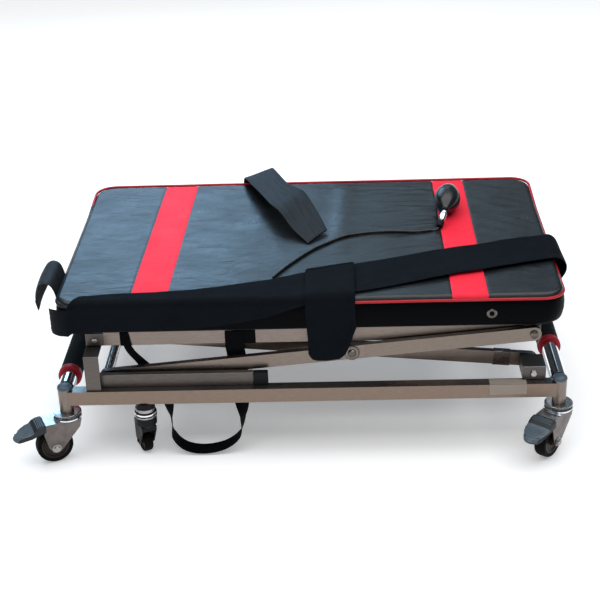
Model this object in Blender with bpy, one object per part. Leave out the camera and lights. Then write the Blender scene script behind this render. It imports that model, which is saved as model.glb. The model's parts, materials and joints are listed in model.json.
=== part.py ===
# Portable scissor-lift stretcher trolley, shown at its lowest position.
# Metres, +Z up, X along the bed, Y across it.  The base rectangle is centred on
# the origin and the wheels stand on z = 0.
import bpy
import bmesh
import math
from mathutils import Vector, Matrix

# ------------------------------------------------------------------ dimensions
MAT_L, MAT_W = 1.000, 0.607          # pad length and width
MAT_Z0, MAT_Z1 = 0.2702, 0.3380      # pad underside and top
PAD_R = 0.042                        # pad plan corner radius
PAD_E = 0.012                        # pad edge rounding
POST_X, POST_Y = 0.4935, 0.3225      # corner post axes
POST_R = 0.014
BASE_T = 0.025                       # square base tube
BASE_Z = 0.142                       # base tube centre height
END_R = 0.017                        # round end tube
END_Z = 0.150
GRIP_R = 0.023
PIV_X = 0.442                        # fixed pivots, right-hand end
LOW_Z, UP_Z = 0.169, 0.247           # lower and upper pivot heights
ROLL_X = -0.410                      # rollers at rest
LEG_H, LEG_T, LEG_WALL = 0.029, 0.012, 0.002
OUT_Y = 0.294                        # outer leg centre plane
IN_Y = 0.256                         # inner leg centre plane
DECK_Y0, DECK_Y1 = 0.264, 0.284      # deck side channel, inner and outer faces
DECK_Z0, DECK_Z1 = 0.232, 0.262
GAP = 0.0003
WHEEL_R, WHEEL_W = 0.0375, 0.024     # main casters
TRAIL = 0.034
AUX_R = 0.025                        # small support casters
AUX_X = -0.335
MID_X = 0.5 * (PIV_X + ROLL_X)
MID_Z = 0.5 * (LOW_Z + UP_Z)
LEG_ANG = math.atan2(UP_Z - LOW_Z, PIV_X - ROLL_X)

for o in list(bpy.data.objects):
    bpy.data.objects.remove(o, do_unlink=True)
for m in list(bpy.data.meshes):
    bpy.data.meshes.remove(m)

MATS = {}


def material(name, rgb, metal, rough):
    m = bpy.data.materials.new(name)
    m.use_nodes = True
    b = m.node_tree.nodes.get("Principled BSDF")
    b.inputs["Base Color"].default_value = (rgb[0], rgb[1], rgb[2], 1.0)
    b.inputs["Metallic"].default_value = metal
    b.inputs["Roughness"].default_value = rough
    return m


SILVER = ((0.62, 0.61, 0.60), 1.0, 0.35)
ZINC = ((0.66, 0.67, 0.69), 1.0, 0.25)
CHROME = ((0.80, 0.81, 0.83), 1.0, 0.08)
BLACK = ((0.03, 0.03, 0.035), 0.0, 0.6)
WEB = ((0.018, 0.018, 0.020), 0.0, 0.75)
VINYL = ((0.03, 0.033, 0.038), 0.0, 0.42)
GREY = ((0.16, 0.17, 0.19), 0.0, 0.5)
FOAM = ((0.02, 0.02, 0.022), 0.0, 0.85)
CAP = ((0.10, 0.13, 0.16), 0.0, 0.4)
TYRE = ((0.02, 0.02, 0.02), 0.0, 0.7)
RUBBER = ((0.025, 0.025, 0.027), 0.0, 0.4)


def finish(name, me, look, origin=(0, 0, 0), sharp=32.0):
    """Put a world-space mesh on an object whose origin is at `origin`."""
    bm = bmesh.new()
    bm.from_mesh(me)
    bmesh.ops.recalc_face_normals(bm, faces=bm.faces[:])
    if bm.calc_volume(signed=True) < 0:
        bmesh.ops.reverse_faces(bm, faces=bm.faces[:])
    bmesh.ops.translate(bm, verts=bm.verts[:], vec=-Vector(origin))
    bm.to_mesh(me)
    bm.free()
    me.name = name
    ob = bpy.data.objects.new(name, me)
    ob.location = origin
    bpy.context.scene.collection.objects.link(ob)
    me.materials.clear()
    me.materials.append(material(name, *look))
    for p in me.polygons:
        p.use_smooth = True
    me.set_sharp_from_angle(angle=math.radians(sharp))
    return ob


def mesh_of(verts, faces):
    me = bpy.data.meshes.new("m")
    me.from_pydata([tuple(v) for v in verts], [], faces)
    me.update()
    return me


def prism(poly, frame, d0, d1):
    """Extrude a 2-D outline; frame = (origin, u, v, w), d0..d1 along w."""
    o, u, v, w = [Vector(a) for a in frame]
    n = len(poly)
    vs = [o + u * a + v * b + w * d0 for a, b in poly] + [o + u * a + v * b + w * d1 for a, b in poly]
    fs = [list(range(n))[::-1], list(range(n, 2 * n))]
    fs += [[i, (i + 1) % n, n + (i + 1) % n, n + i] for i in range(n)]
    return mesh_of(vs, fs)


def box_mesh(lo, hi):
    poly = [(lo[0], lo[1]), (hi[0], lo[1]), (hi[0], hi[1]), (lo[0], hi[1])]
    return prism(poly, ((0, 0, 0), (1, 0, 0), (0, 1, 0), (0, 0, 1)), lo[2], hi[2])


def axes(d):
    d = Vector(d).normalized()
    h = Vector((0, 0, 1)) if abs(d.z) < 0.9 else Vector((1, 0, 0))
    a = d.cross(h).normalized()
    return a, d.cross(a).normalized(), d


def revolve(profile, origin, direction, n=20):
    """Closed (r, s) outline turned about `direction`; r = 0 ends become poles."""
    a, b, d = axes(direction)
    o = Vector(origin)
    rings, vs = [], []
    for r, s in profile:
        if r < 1e-7:
            rings.append([len(vs)])
            vs.append(o + d * s)
        else:
            rings.append(list(range(len(vs), len(vs) + n)))
            vs += [o + d * s + (a * math.cos(2 * math.pi * k / n) + b * math.sin(2 * math.pi * k / n)) * r
                   for k in range(n)]
    fs = []
    closed = len(rings[0]) > 1 and len(rings[-1]) > 1
    pairs = list(zip(rings, rings[1:])) + ([(rings[-1], rings[0])] if closed else [])
    for p, q in pairs:
        if len(p) == 1 and len(q) == 1:
            continue
        for k in range(n):
            k2 = (k + 1) % n
            if len(p) == 1:
                fs.append([p[0], q[k2], q[k]])
            elif len(q) == 1:
                fs.append([p[k], p[k2], q[0]])
            else:
                fs.append([p[k], p[k2], q[k2], q[k]])
    return mesh_of(vs, fs)


def cyl_mesh(p0, p1, r, n=20):
    p0, p1 = Vector(p0), Vector(p1)
    L = (p1 - p0).length
    return revolve([(0, 0), (r, 0), (r, L), (0, L)], p0, p1 - p0, n)


def pipe_mesh(p0, p1, r, ri, n=20):
    p0, p1 = Vector(p0), Vector(p1)
    L = (p1 - p0).length
    return revolve([(ri, 0), (r, 0), (r, L), (ri, L)], p0, p1 - p0, n)


def rect_tube(p0, p1, w, h, wall):
    """Hollow rectangular tube, w across Y and h up, from p0 to p1."""
    p0, p1 = Vector(p0), Vector(p1)
    d = (p1 - p0).normalized()
    y = Vector((0, 1, 0)) if abs(d.y) < 0.9 else Vector((1, 0, 0))
    z = d.cross(y).normalized()
    if z.z < 0:
        z = -z
    vs = []
    for p in (p0, p1):
        for ww, hh in ((w / 2, h / 2), (w / 2 - wall, h / 2 - wall)):
            vs += [p - y * ww - z * hh, p + y * ww - z * hh, p + y * ww + z * hh, p - y * ww + z * hh]
    fs = []
    for k in range(4):
        k2 = (k + 1) % 4
        fs.append([k, k2, 8 + k2, 8 + k])                 # outside
        fs.append([4 + k, 12 + k, 12 + k2, 4 + k2])       # inside
        fs.append([k, 4 + k, 4 + k2, k2])                 # end ring at p0
        fs.append([8 + k, 8 + k2, 12 + k2, 12 + k])       # end ring at p1
    return mesh_of(vs, fs)


def combine(base, others, op):
    """Exact boolean of world-space meshes, returned as a plain mesh."""
    me = base
    for other in others:
        a = bpy.data.objects.new("a", me)
        b = bpy.data.objects.new("b", other)
        for ob in (a, b):
            bpy.context.scene.collection.objects.link(ob)
            bm = bmesh.new()
            bm.from_mesh(ob.data)
            bmesh.ops.recalc_face_normals(bm, faces=bm.faces[:])
            bm.to_mesh(ob.data)
            bm.free()
        b.hide_render = True
        b.display_type = 'WIRE'
        mod = a.modifiers.new("cut", 'BOOLEAN')
        mod.solver = 'EXACT'
        mod.operation = op
        mod.object = b
        dg = bpy.context.evaluated_depsgraph_get()
        me = bpy.data.meshes.new_from_object(a.evaluated_get(dg))
        bpy.data.objects.remove(a, do_unlink=True)
        bpy.data.objects.remove(b, do_unlink=True)
    return me


def placed(me, at, turn_deg):
    """Turn a mesh about Z and move it."""
    me.transform(Matrix.Translation(Vector(at)) @ Matrix.Rotation(math.radians(turn_deg), 4, 'Z'))
    return me


def sheet_mesh(grid, normals, t):
    """Closed slab from a grid of points (rows of equal length) and unit normals."""
    nr, nc = len(grid), len(grid[0])
    vs = [p for row in grid for p in row]
    vs += [grid[i][j] + normals[i][j] * t for i in range(nr) for j in range(nc)]
    off = nr * nc

    def k(i, j):
        return i * nc + j
    fs = []
    for i in range(nr - 1):
        for j in range(nc - 1):
            fs.append([k(i, j), k(i, j + 1), k(i + 1, j + 1), k(i + 1, j)])
            fs.append([off + k(i, j), off + k(i + 1, j), off + k(i + 1, j + 1), off + k(i, j + 1)])
    for j in range(nc - 1):
        fs.append([k(0, j), off + k(0, j), off + k(0, j + 1), k(0, j + 1)])
        fs.append([k(nr - 1, j), k(nr - 1, j + 1), off + k(nr - 1, j + 1), off + k(nr - 1, j)])
    for i in range(nr - 1):
        fs.append([k(i, 0), k(i + 1, 0), off + k(i + 1, 0), off + k(i, 0)])
        fs.append([k(i, nc - 1), off + k(i, nc - 1), off + k(i + 1, nc - 1), k(i + 1, nc - 1)])
    return mesh_of(vs, fs)


def smooth_path(pts, n):
    """Catmull-Rom through the points, n samples per span."""
    P = [Vector(p) for p in pts]
    P = [P[0] * 2 - P[1]] + P + [P[-1] * 2 - P[-2]]
    out = []
    for i in range(1, len(P) - 2):
        for k in range(n):
            t = k / n
            a, b, c, d = P[i - 1], P[i], P[i + 1], P[i + 2]
            out.append(0.5 * ((2 * b) + (c - a) * t + (2 * a - 5 * b + 4 * c - d) * t * t
                              + (3 * b - a - 3 * c + d) * t * t * t))
    out.append(P[-2].copy())
    return out


def ribbon_mesh(pts, wdirs, width, t):
    """Flat strap along pts; wdirs gives the width direction at each point."""
    grid, nrm = [], []
    n = len(pts)
    for i in range(n):
        T = (pts[min(i + 1, n - 1)] - pts[max(i - 1, 0)]).normalized()
        W = Vector(wdirs[i])
        W = (W - T * W.dot(T)).normalized()
        N = T.cross(W).normalized()
        wd = width[i] if isinstance(width, list) else width
        grid.append([pts[i] - W * wd / 2 - N * t / 2, pts[i] + W * wd / 2 - N * t / 2])
        nrm.append([N, N])
    return sheet_mesh(grid, nrm, t)


# ------------------------------------------------------------------ base frame
for side, s in (("front", -1), ("rear", 1)):
    me = rect_tube((-POST_X, s * POST_Y, BASE_Z - 0.0025), (POST_X, s * POST_Y, BASE_Z - 0.0025), BASE_T, 0.030, 0.002)
    cuts = [cyl_mesh((sx * POST_X, s * POST_Y, 0.10), (sx * POST_X, s * POST_Y, 0.19), POST_R + GAP, 24)
            for sx in (-1, 1)]
    me = combine(me, cuts, 'DIFFERENCE')
    # the ends beyond each post are dropped, leaving a coped end
    bm = bmesh.new()
    bm.from_mesh(me)
    geo = [v for v in bm.verts if abs(v.co.x) > POST_X - 0.001]
    bmesh.ops.delete(bm, geom=geo, context='VERTS')
    bm.to_mesh(me)
    bm.free()
    finish("base_side_tube_" + side, me, SILVER)

for cx, sx in (("l", -1), ("r", 1)):
    for cy, sy in (("f", -1), ("r", 1)):
        tag = cy + cx
        x, y = sx * POST_X, sy * POST_Y
        finish("corner_post_" + tag, pipe_mesh((x, y, 0.1064), (x, y, 0.1580), POST_R, 0.0085, 24), SILVER)
        finish("post_cap_" + tag, revolve([(0, 0), (0.0147, 0), (0.0147, 0.0035), (0.0132, 0.0062),
                                           (0.0095, 0.0081), (0.0050, 0.0090), (0, 0.0093)],
                                          (x, y, 0.1583), (0, 0, 1), 24), CAP)

for side, s, y0 in (("left", -1, 0.262), ("right", 1, 0.177)):
    x = s * POST_X
    yt = POST_Y - POST_R - GAP
    me = pipe_mesh((x, -yt, END_Z), (x, yt, END_Z), END_R, END_R - 0.002, 28)
    cuts = [cyl_mesh((x, sy * POST_Y, 0.10), (x, sy * POST_Y, 0.19), POST_R + GAP, 24) for sy in (-1, 1)]
    finish("base_end_tube_" + side, me, CHROME)
    # foam sleeve with a moulded collar at each end
    ri = END_R + GAP
    prof = [(ri, -y0), (0.0237, -y0), (0.0240, -y0 + 0.003), (0.0240, -y0 + 0.011), (0.0237, -y0 + 0.014),
            (GRIP_R, -y0 + 0.0145), (GRIP_R, y0 - 0.0145), (0.0237, y0 - 0.014), (0.0240, y0 - 0.011),
            (0.0240, y0 - 0.003), (0.0237, y0), (ri, y0)]
    finish("foam_grip_" + side, revolve(prof, (x, 0, END_Z), (0, 1, 0), 28), FOAM)

# slide rails: C channels on top of the side tubes, open towards the middle
RAIL_X0, RAIL_X1 = -0.4370, -0.1150
for side, s in (("front", -1), ("rear", 1)):
    z0, z1, w = LOW_Z - 0.0141, LOW_Z + 0.0141, 0.002
    yo, yi = 0.3178, 0.3055
    out = [(yi, z0), (yo, z0), (yo, z1), (yi, z1), (yi, z1 - w), (yo - w, z1 - w), (yo - w, z0 + w), (yi, z0 + w)]
    me = prism([(a * s, b) for a, b in out], ((0, 0, 0), (0, 1, 0), (0, 0, 1), (1, 0, 0)), RAIL_X0, RAIL_X1)
    finish("slide_rail_" + side, me, SILVER)
    me = box_mesh((RAIL_X1 + GAP, min(s * 0.3192, s * 0.3062), z0), (RAIL_X1 + 0.030, max(s * 0.3192, s * 0.3062), z1))
    finish("slide_rail_stop_" + side, me, BLACK)
    # rest bracket: an upright that catches the lowered deck
    poly = [(0.3305, 0.1549), (0.3305, 0.2317), (0.2655, 0.2317), (0.2655, 0.2287), (0.3275, 0.2287), (0.3275, 0.1549)]
    me = prism([(a * s, b) for a, b in poly], ((0, 0, 0), (0, 1, 0), (0, 0, 1), (1, 0, 0)), -0.4480, -0.4180)
    finish("deck_rest_bracket_" + side, me, SILVER)
    # fixed lower pivot: a block on the side tube with a stub pin
    ya, yb = sorted((s * 0.3178, s * 0.2655))
    me = box_mesh((0.4200, ya, 0.1549), (0.4660, yb, 0.1840))
    pin = cyl_mesh((PIV_X, s * 0.2700, LOW_Z), (PIV_X, s * 0.2485, LOW_Z), 0.0055, 20)
    head = cyl_mesh((PIV_X, s * 0.3150, LOW_Z), (PIV_X, s * 0.3215, LOW_Z), 0.0075, 6)
    finish("base_pivot_block_" + side, combine(me, [pin, head], 'UNION'), SILVER)


# ------------------------------------------------------------------ main casters
def main_caster(tag, x, y, heading):
    """heading: direction the wheel trails to, degrees from +X."""
    ring = revolve([(0, 0.0935), (0.0255, 0.0935), (0.0283, 0.0955), (0.0283, 0.0985), (0.0262, 0.1000),
                    (0.0262, 0.1020), (0.0275, 0.1035), (0.0255, 0.1058), (0.0120, 0.1060), (0, 0.1060)],
                   (0, 0, 0), (0, 0, 1), 28)
    plate = box_mesh((-0.0225, -0.0215, 0.0900), (0.0505, 0.0215, 0.0945))
    cheek = [(-0.0225, 0.0925), (-0.0180, 0.0760), (0.0190, 0.0360), (0.0270, 0.0290), (0.0410, 0.0290),
             (0.0490, 0.0420), (0.0560, 0.0740), (0.0505, 0.0790), (0.0505, 0.0925)]
    cheeks = [prism(cheek, ((0, 0, 0), (1, 0, 0), (0, 0, 1), (0, 1, 0)), a, b)
              for a, b in ((-0.0215, -0.0185), (0.0185, 0.0215))]
    axle = cyl_mesh((TRAIL, -0.0265, WHEEL_R), (TRAIL, 0.0265, WHEEL_R), 0.0042, 16)
    nuts = [cyl_mesh((TRAIL, a, WHEEL_R), (TRAIL, b, WHEEL_R), 0.0072, 6)
            for a, b in ((-0.0250, -0.0210), (0.0210, 0.0250))]
    me = combine(ring, [plate] + cheeks + [axle] + nuts, 'UNION')
    finish("caster_fork_" + tag, placed(me, (x, y, 0), heading), ZINC, (x, y, 0.1060))
    h = WHEEL_W / 2
    prof = [(0.0045, -0.0165), (0.0110, -0.0165), (0.0120, -0.0080), (0.0270, -0.0080), (0.0285, -h + 0.0005),
            (0.0340, -h), (0.0368, -h + 0.0035), (WHEEL_R, -0.004), (WHEEL_R, 0.004), (0.0368, h - 0.0035),
            (0.0340, h), (0.0285, h - 0.0005), (0.0270, 0.0080), (0.0120, 0.0080), (0.0110, 0.0165), (0.0045, 0.0165)]
    me = placed(revolve(prof, (TRAIL, 0, WHEEL_R), (0, 1, 0), 32), (x, y, 0), heading)
    c, d = math.cos(math.radians(heading)), math.sin(math.radians(heading))
    finish("caster_wheel_" + tag, me, TYRE, (x + TRAIL * c, y + TRAIL * d, WHEEL_R))
    # foot pedal: stepped tread plate, wider than the fork
    side = [(0.0512, 0.0945), (0.0740, 0.0890), (0.0765, 0.0850), (0.0800, 0.0835), (0.1130, 0.0725), (0.1158, 0.0690),
            (0.1140, 0.0650), (0.0800, 0.0745), (0.0640, 0.0795), (0.0512, 0.0830)]
    me = prism(side, ((0, 0, 0), (1, 0, 0), (0, 0, 1), (0, 1, 0)), -0.025, 0.025)
    bm = bmesh.new()
    bm.from_mesh(me)
    for v in bm.verts:                                     # narrow the toe
        if v.co.x > 0.11:
            v.co.y *= 0.62
    bm.to_mesh(me)
    bm.free()
    px, pz = 0.0545, 0.0865
    finish("brake_pedal_" + tag, placed(me, (x, y, 0), heading), GREY, (x + px * c, y + px * d, pz))


main_caster("fl", -POST_X, -POST_Y, 204.0)
main_caster("fr", POST_X, -POST_Y, 232.0)
main_caster("rr", POST_X, POST_Y, 24.0)
main_caster("rl", -POST_X, POST_Y, 52.0)


# ------------------------------------------------------------------ small support casters under the side tubes
def aux_caster(tag, x, y, heading):
    body = revolve([(0, 0.0700), (0.0170, 0.0700), (0.0215, 0.0760), (0.0215, 0.0920), (0.0195, 0.0940),
                    (0.0195, 0.0970), (0.0218, 0.0990), (0.0218, 0.1030), (0.0195, 0.1050), (0.0175, 0.1240), (0, 0.1240)],
                   (0, 0, 0), (0, 0, 1), 24)
    plate = box_mesh((-0.0160, -0.0155, 0.0620), (0.0360, 0.0155, 0.0720))
    cheek = [(-0.0160, 0.0650), (0.0060, 0.0250), (0.0140, 0.0180), (0.0260, 0.0180), (0.0350, 0.0300), (0.0360, 0.0650)]
    cheeks = [prism(cheek, ((0, 0, 0), (1, 0, 0), (0, 0, 1), (0, 1, 0)), a, b)
              for a, b in ((-0.0155, -0.0130), (0.0130, 0.0155))]
    axle = cyl_mesh((0.020, -0.0175, AUX_R), (0.020, 0.0175, AUX_R), 0.0032, 12)
    me = combine(body, [plate] + cheeks + [axle], 'UNION')
    finish("support_caster_fork_" + tag, placed(me, (x, y, 0), heading), BLACK, (x, y, 0.1240))
    prof = [(0.0035, -0.0120), (0.0080, -0.0120), (0.0085, -0.0095), (0.0225, -0.0095), (AUX_R, -0.0065),
            (AUX_R, 0.0065), (0.0225, 0.0095), (0.0085, 0.0095), (0.0080, 0.0120), (0.0035, 0.0120)]
    me = placed(revolve(prof, (0.020, 0, AUX_R), (0, 1, 0), 28), (x, y, 0), heading)
    c, d = math.cos(math.radians(heading)), math.sin(math.radians(heading))
    finish("support_caster_wheel_" + tag, me, TYRE, (x + 0.020 * c, y + 0.020 * d, AUX_R))


aux_caster("front", AUX_X, -POST_Y, 115.0)
aux_caster("rear", AUX_X, POST_Y, -65.0)


# ------------------------------------------------------------------ scissor legs
def leg(name, p0, p1, y, holes, origin, boss=None):
    d = (Vector(p1) - Vector(p0)).normalized()
    e0 = Vector(p0) - d * 0.016
    e1 = Vector(p1) + d * 0.016
    me = rect_tube((e0.x, y, e0.z), (e1.x, y, e1.z), LEG_T, LEG_H, LEG_WALL)
    # rounded ends, so that each end turns inside its bracket
    r, L = LEG_H / 2, (Vector(p1) - Vector(p0)).length
    cap = [(r * math.sin(math.radians(-a)), r * math.cos(math.radians(a))) for a in range(0, 181, 15)]
    cap = [(-abs(u), v) for u, v in cap]
    full = cap + [(L - u, -v) for u, v in cap]
    up = Vector((-d.z, 0, d.x))
    outline = prism([(u, v * 1.02) for u, v in full], ((p0[0], y, p0[2]), d, up, (0, 1, 0)), -0.010, 0.010)
    me = combine(me, [outline], 'INTERSECT')
    cuts = [cyl_mesh((hx, y - 0.02, hz), (hx, y + 0.02, hz), 0.0055 + GAP, 20) for hx, hz in holes]
    me = combine(me, cuts, 'DIFFERENCE')
    if boss:
        me = combine(me, [boss], 'UNION')
    finish(name, me, SILVER, origin)


A = Vector((PIV_X, 0, LOW_Z))
B = Vector((ROLL_X, 0, LOW_Z))
C = Vector((PIV_X, 0, UP_Z))
D = Vector((ROLL_X, 0, UP_Z))
for side, s in (("front", -1), ("rear", 1)):
    # welded round boss with a cap bolt on the outer leg, just right of the crossing
    bx = 0.083
    bz = MID_Z + (bx - MID_X) * math.tan(LEG_ANG)
    prof = [(0, -0.3080), (0.0060, -0.3078), (0.0080, -0.3060), (0.0080, -0.3035), (0.0140, -0.3032), (0.0149, -0.3022),
            (0.0149, -0.2990), (0, -0.2990)]
    boss = revolve(prof, (bx, 0, bz), (0, -s, 0), 24)
    leg("outer_leg_" + side, B, C, s * OUT_Y, [(ROLL_X, LOW_Z), (MID_X, MID_Z), (PIV_X, UP_Z)], (MID_X, s * OUT_Y, MID_Z), boss)
    leg("inner_leg_" + side, D, A, s * IN_Y, [(ROLL_X, UP_Z), (MID_X, MID_Z), (PIV_X, LOW_Z)], (PIV_X, s * IN_Y, LOW_Z))
    # through bolt at the crossing, with a spacer between the two legs
    prof = [(0, -0.3075), (0.0050, -0.3070), (0.0080, -0.3050), (0.0080, -0.3020), (0.0110, -0.3020), (0.0110, -0.3004),
            (0.0055, -0.3004), (0.0055, -0.2876), (0.0100, -0.2876), (0.0100, -0.2624), (0.0055, -0.2624),
            (0.0055, -0.2496), (0.0090, -0.2496), (0.0090, -0.2440), (0, -0.2440)]
    finish("scissor_pivot_bolt_" + side, revolve(prof, (MID_X, 0, MID_Z), (0, -s, 0), 20), ZINC)
    # screw holding the outer leg to the deck channel
    prof = [(0, -0.3058), (0.0045, -0.3056), (0.0080, -0.3040), (0.0085, -0.3004), (0.0055, -0.3004), (0.0055, -0.2843),
            (0, -0.2843)]
    finish("deck_pivot_bolt_" + side, revolve(prof, (PIV_X, 0, UP_Z), (0, -s, 0), 20), ZINC)

# roller axles: each ties a pair of legs together and carries a roller at both ends
prof = [(0, -0.3128), (0.0088, -0.3128), (0.0104, -0.3110), (0.0104, -0.3032), (0.0095, -0.3020), (0.0055, -0.3020), (0.0055, -0.2876),
        (0.0100, -0.2876)]
prof = prof + [(r, -v) for r, v in prof[::-1]]
finish("lower_roller_axle", revolve(prof, B, (0, 1, 0), 24), ZINC, tuple(B))
prof = [(0, -0.2815), (0.0115, -0.2815), (0.0125, -0.2800), (0.0125, -0.2660), (0.0115, -0.2648), (0.0055, -0.2648), (0.0055, -0.2496),
        (0.0100, -0.2496)]
prof = prof + [(r, -v) for r, v in prof[::-1]]
finish("upper_roller_axle", revolve(prof, D, (0, 1, 0), 24), ZINC, tuple(D))

# ------------------------------------------------------------------ deck
for side, s in (("front", -1), ("rear", 1)):
    w = 0.002
    out = [(DECK_Y0, DECK_Z0), (DECK_Y1, DECK_Z0), (DECK_Y1, DECK_Z1), (DECK_Y0, DECK_Z1), (DECK_Y0, DECK_Z1 - w),
           (DECK_Y1 - w, DECK_Z1 - w), (DECK_Y1 - w, DECK_Z0 + w), (DECK_Y0, DECK_Z0 + w)]
    me = prism([(a * s, b) for a, b in out], ((0, 0, 0), (0, 1, 0), (0, 0, 1), (1, 0, 0)), -0.4480, 0.4570)
    finish("deck_side_channel_" + side, me, SILVER)
finish("deck_board", box_mesh((-0.4700, -0.2860, DECK_Z1 + GAP), (0.4700, 0.2860, MAT_Z0 - GAP)), BLACK)


def rounded_slab(lx, ly, z0, z1, rc, re, nc=5, ne=3):
    """Slab with rounded plan corners and rounded top and bottom edges."""
    def loop(inset):
        r = max(rc - inset, 0.002)
        pts = []
        for cx, cy, a0 in ((1, 1, 0), (-1, 1, 90), (-1, -1, 180), (1, -1, 270)):
            for k in range(nc + 1):
                a = math.radians(a0 + 90 * k / nc)
                pts.append((cx * (lx / 2 - inset - r) + r * math.cos(a), cy * (ly / 2 - inset - r) + r * math.sin(a)))
        return pts
    levels = []
    for k in range(ne + 1):
        a = math.pi / 2 * k / ne
        levels.append((re * (1 - math.sin(a)), z0 + re * (1 - math.cos(a))))
    for k in range(ne + 1):
        a = math.pi / 2 * (1 - k / ne)
        levels.append((re * (1 - math.sin(a)), z1 - re * (1 - math.cos(a))))
    vs, n = [], 4 * (nc + 1)
    for inset, z in levels:
        vs += [(x, y, z) for x, y in loop(inset)]
    fs = [list(range(n))[::-1], list(range((len(levels) - 1) * n, len(levels) * n))]
    for i in range(len(levels) - 1):
        for j in range(n):
            j2 = (j + 1) % n
            fs.append([i * n + j, i * n + j2, (i + 1) * n + j2, (i + 1) * n + j])
    return mesh_of(vs, fs)


finish("mattress", rounded_slab(MAT_L, MAT_W, MAT_Z0, MAT_Z1, PAD_R, PAD_E), VINYL)

# ------------------------------------------------------------------ straps
YE = MAT_W / 2


def over_front(y_start, s, lift):
    """Point and outward normal after walking s from y_start, across the top and down the front."""
    r = PAD_E + lift
    yc, zc = -YE + PAD_E, MAT_Z1 - PAD_E
    flat = y_start - yc
    if s < flat:
        return (y_start - s, MAT_Z1 + lift), (0.0, 1.0)
    arc = r * math.pi / 2
    if s < flat + arc:
        a = (s - flat) / r
        return (yc - r * math.sin(a), zc + r * math.cos(a)), (-math.sin(a), math.cos(a))
    return (-YE - lift, zc - (s - flat - arc)), (-1.0, 0.0)


def fold_nodes(flat, total, lift, nt, na, nf):
    """Walking distances with nodes aligned to the rounded edge, so the strap follows it."""
    arc = (PAD_E + lift) * math.pi / 2
    if total <= flat:
        c0, c1 = total - 0.006, total - 0.002
    elif total < flat + arc:
        c0, c1 = flat, flat + (total - flat) * 0.8
    else:
        c0, c1 = flat, flat + arc
    return ([c0 * k / nt for k in range(nt)] + [c0 + (c1 - c0) * k / na for k in range(na)]
            + [c1 + (total - c1) * k / nf for k in range(nf + 1)])


# long strap: over the right-hand end, along the top, slipping over the front edge to the left
EDGE = [(-0.452, -0.279), (-0.400, -0.272), (-0.300, -0.268), (-0.228, -0.262), (-0.174, -0.249), (-0.080, -0.222), (-0.024, -0.198),
        (0.042, -0.173), (0.126, -0.147), (0.281, -0.096), (0.351, -0.075), (0.440, -0.046), (0.488, -0.033)]
WB = [0.090, 0.092, 0.095, 0.100, 0.108, 0.118, 0.122, 0.126, 0.128, 0.128, 0.128, 0.126, 0.124]
LIFT_B, T_B = GAP, 0.0022


def edge_at(x):
    for i in range(len(EDGE) - 1):
        x0, x1 = EDGE[i][0], EDGE[i + 1][0]
        if x <= x1 + 1e-9:
            f = (x - x0) / (x1 - x0)
            return EDGE[i][1] * (1 - f) + EDGE[i + 1][1] * f, WB[i] * (1 - f) + WB[i + 1] * f


grid, nrm = [], []
NT, NA, NF = 3, 6, 2
M = NT + NA + NF
for x, y, zt, zb, nx, ny in ((-0.5170, -0.2650, 0.3090, 0.2560, -0.93, -0.37), (-0.5100, -0.2790, 0.3140, 0.2590, -0.83, -0.55),
                             (-0.4990, -0.2920, 0.3190, 0.2630, -0.66, -0.75), (-0.4860, -0.3010, 0.3220, 0.2665, -0.37, -0.93)):
    grid.append([Vector((x, y, zt + (zb - zt) * j / M)) for j in range(M + 1)])
    nrm.append([Vector((nx, ny, 0))] * (M + 1))
for x, s0, up in ((-0.4740, 0.0320, 0.0024), (-0.4700, 0.0265, 0.0024), (-0.4660, 0.0210, 0.0022), (-0.4620, 0.0155, 0.0018), (-0.4580, 0.0100, 0.0012),
                  (-0.4550, 0.0050, 0.0006)):
    row, nr = [], []
    for j, d in enumerate(fold_nodes(EDGE[0][1] + YE - PAD_E, WB[0], LIFT_B, NT, NA, NF)):
        (y, z), (ny, nz) = over_front(EDGE[0][1], max(d, s0 + 0.0003 * j), LIFT_B + up)
        row.append(Vector((x, y, z)))
        nr.append(Vector((0, ny, nz)))
    grid.append(row)
    nrm.append(nr)
xs = [-0.452, -0.400, -0.300, -0.228, -0.174, -0.127, -0.080, -0.052, -0.024] + [-0.024 + 0.010 * k for k in range(1, 15)]
xs += [0.126, 0.200, 0.281, 0.351, 0.440, 0.488]
for x in xs:
    ye, w = edge_at(x)
    row, nr = [], []
    for d in fold_nodes(ye + YE - PAD_E, w, LIFT_B, NT, NA, NF):
        (y, z), (ny, nz) = over_front(ye, d, LIFT_B)
        row.append(Vector((x, y, z)))
        nr.append(Vector((0, ny, nz)))
    grid.append(row)
    nrm.append(nr)
M = NT + NA + NF
r = PAD_E + LIFT_B
for k in range(1, 9):
    if k <= 6:
        a = math.radians(90 * k / 6)
        x, z, n = MAT_L / 2 - PAD_E + r * math.sin(a), MAT_Z1 - PAD_E + r * math.cos(a), (math.sin(a), math.cos(a))
    else:
        x, z, n = MAT_L / 2 + LIFT_B, MAT_Z1 - PAD_E - 0.020 * (k - 6), (1.0, 0.0)
    row = [Vector((x, -0.032 - 0.001 * k - 0.124 * j / M, z)) for j in range(M + 1)]
    grid.append(row)
    nrm.append([Vector((n[0], 0, n[1]))] * (M + 1))
finish("long_strap", sheet_mesh(grid, nrm, T_B), WEB)

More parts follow.
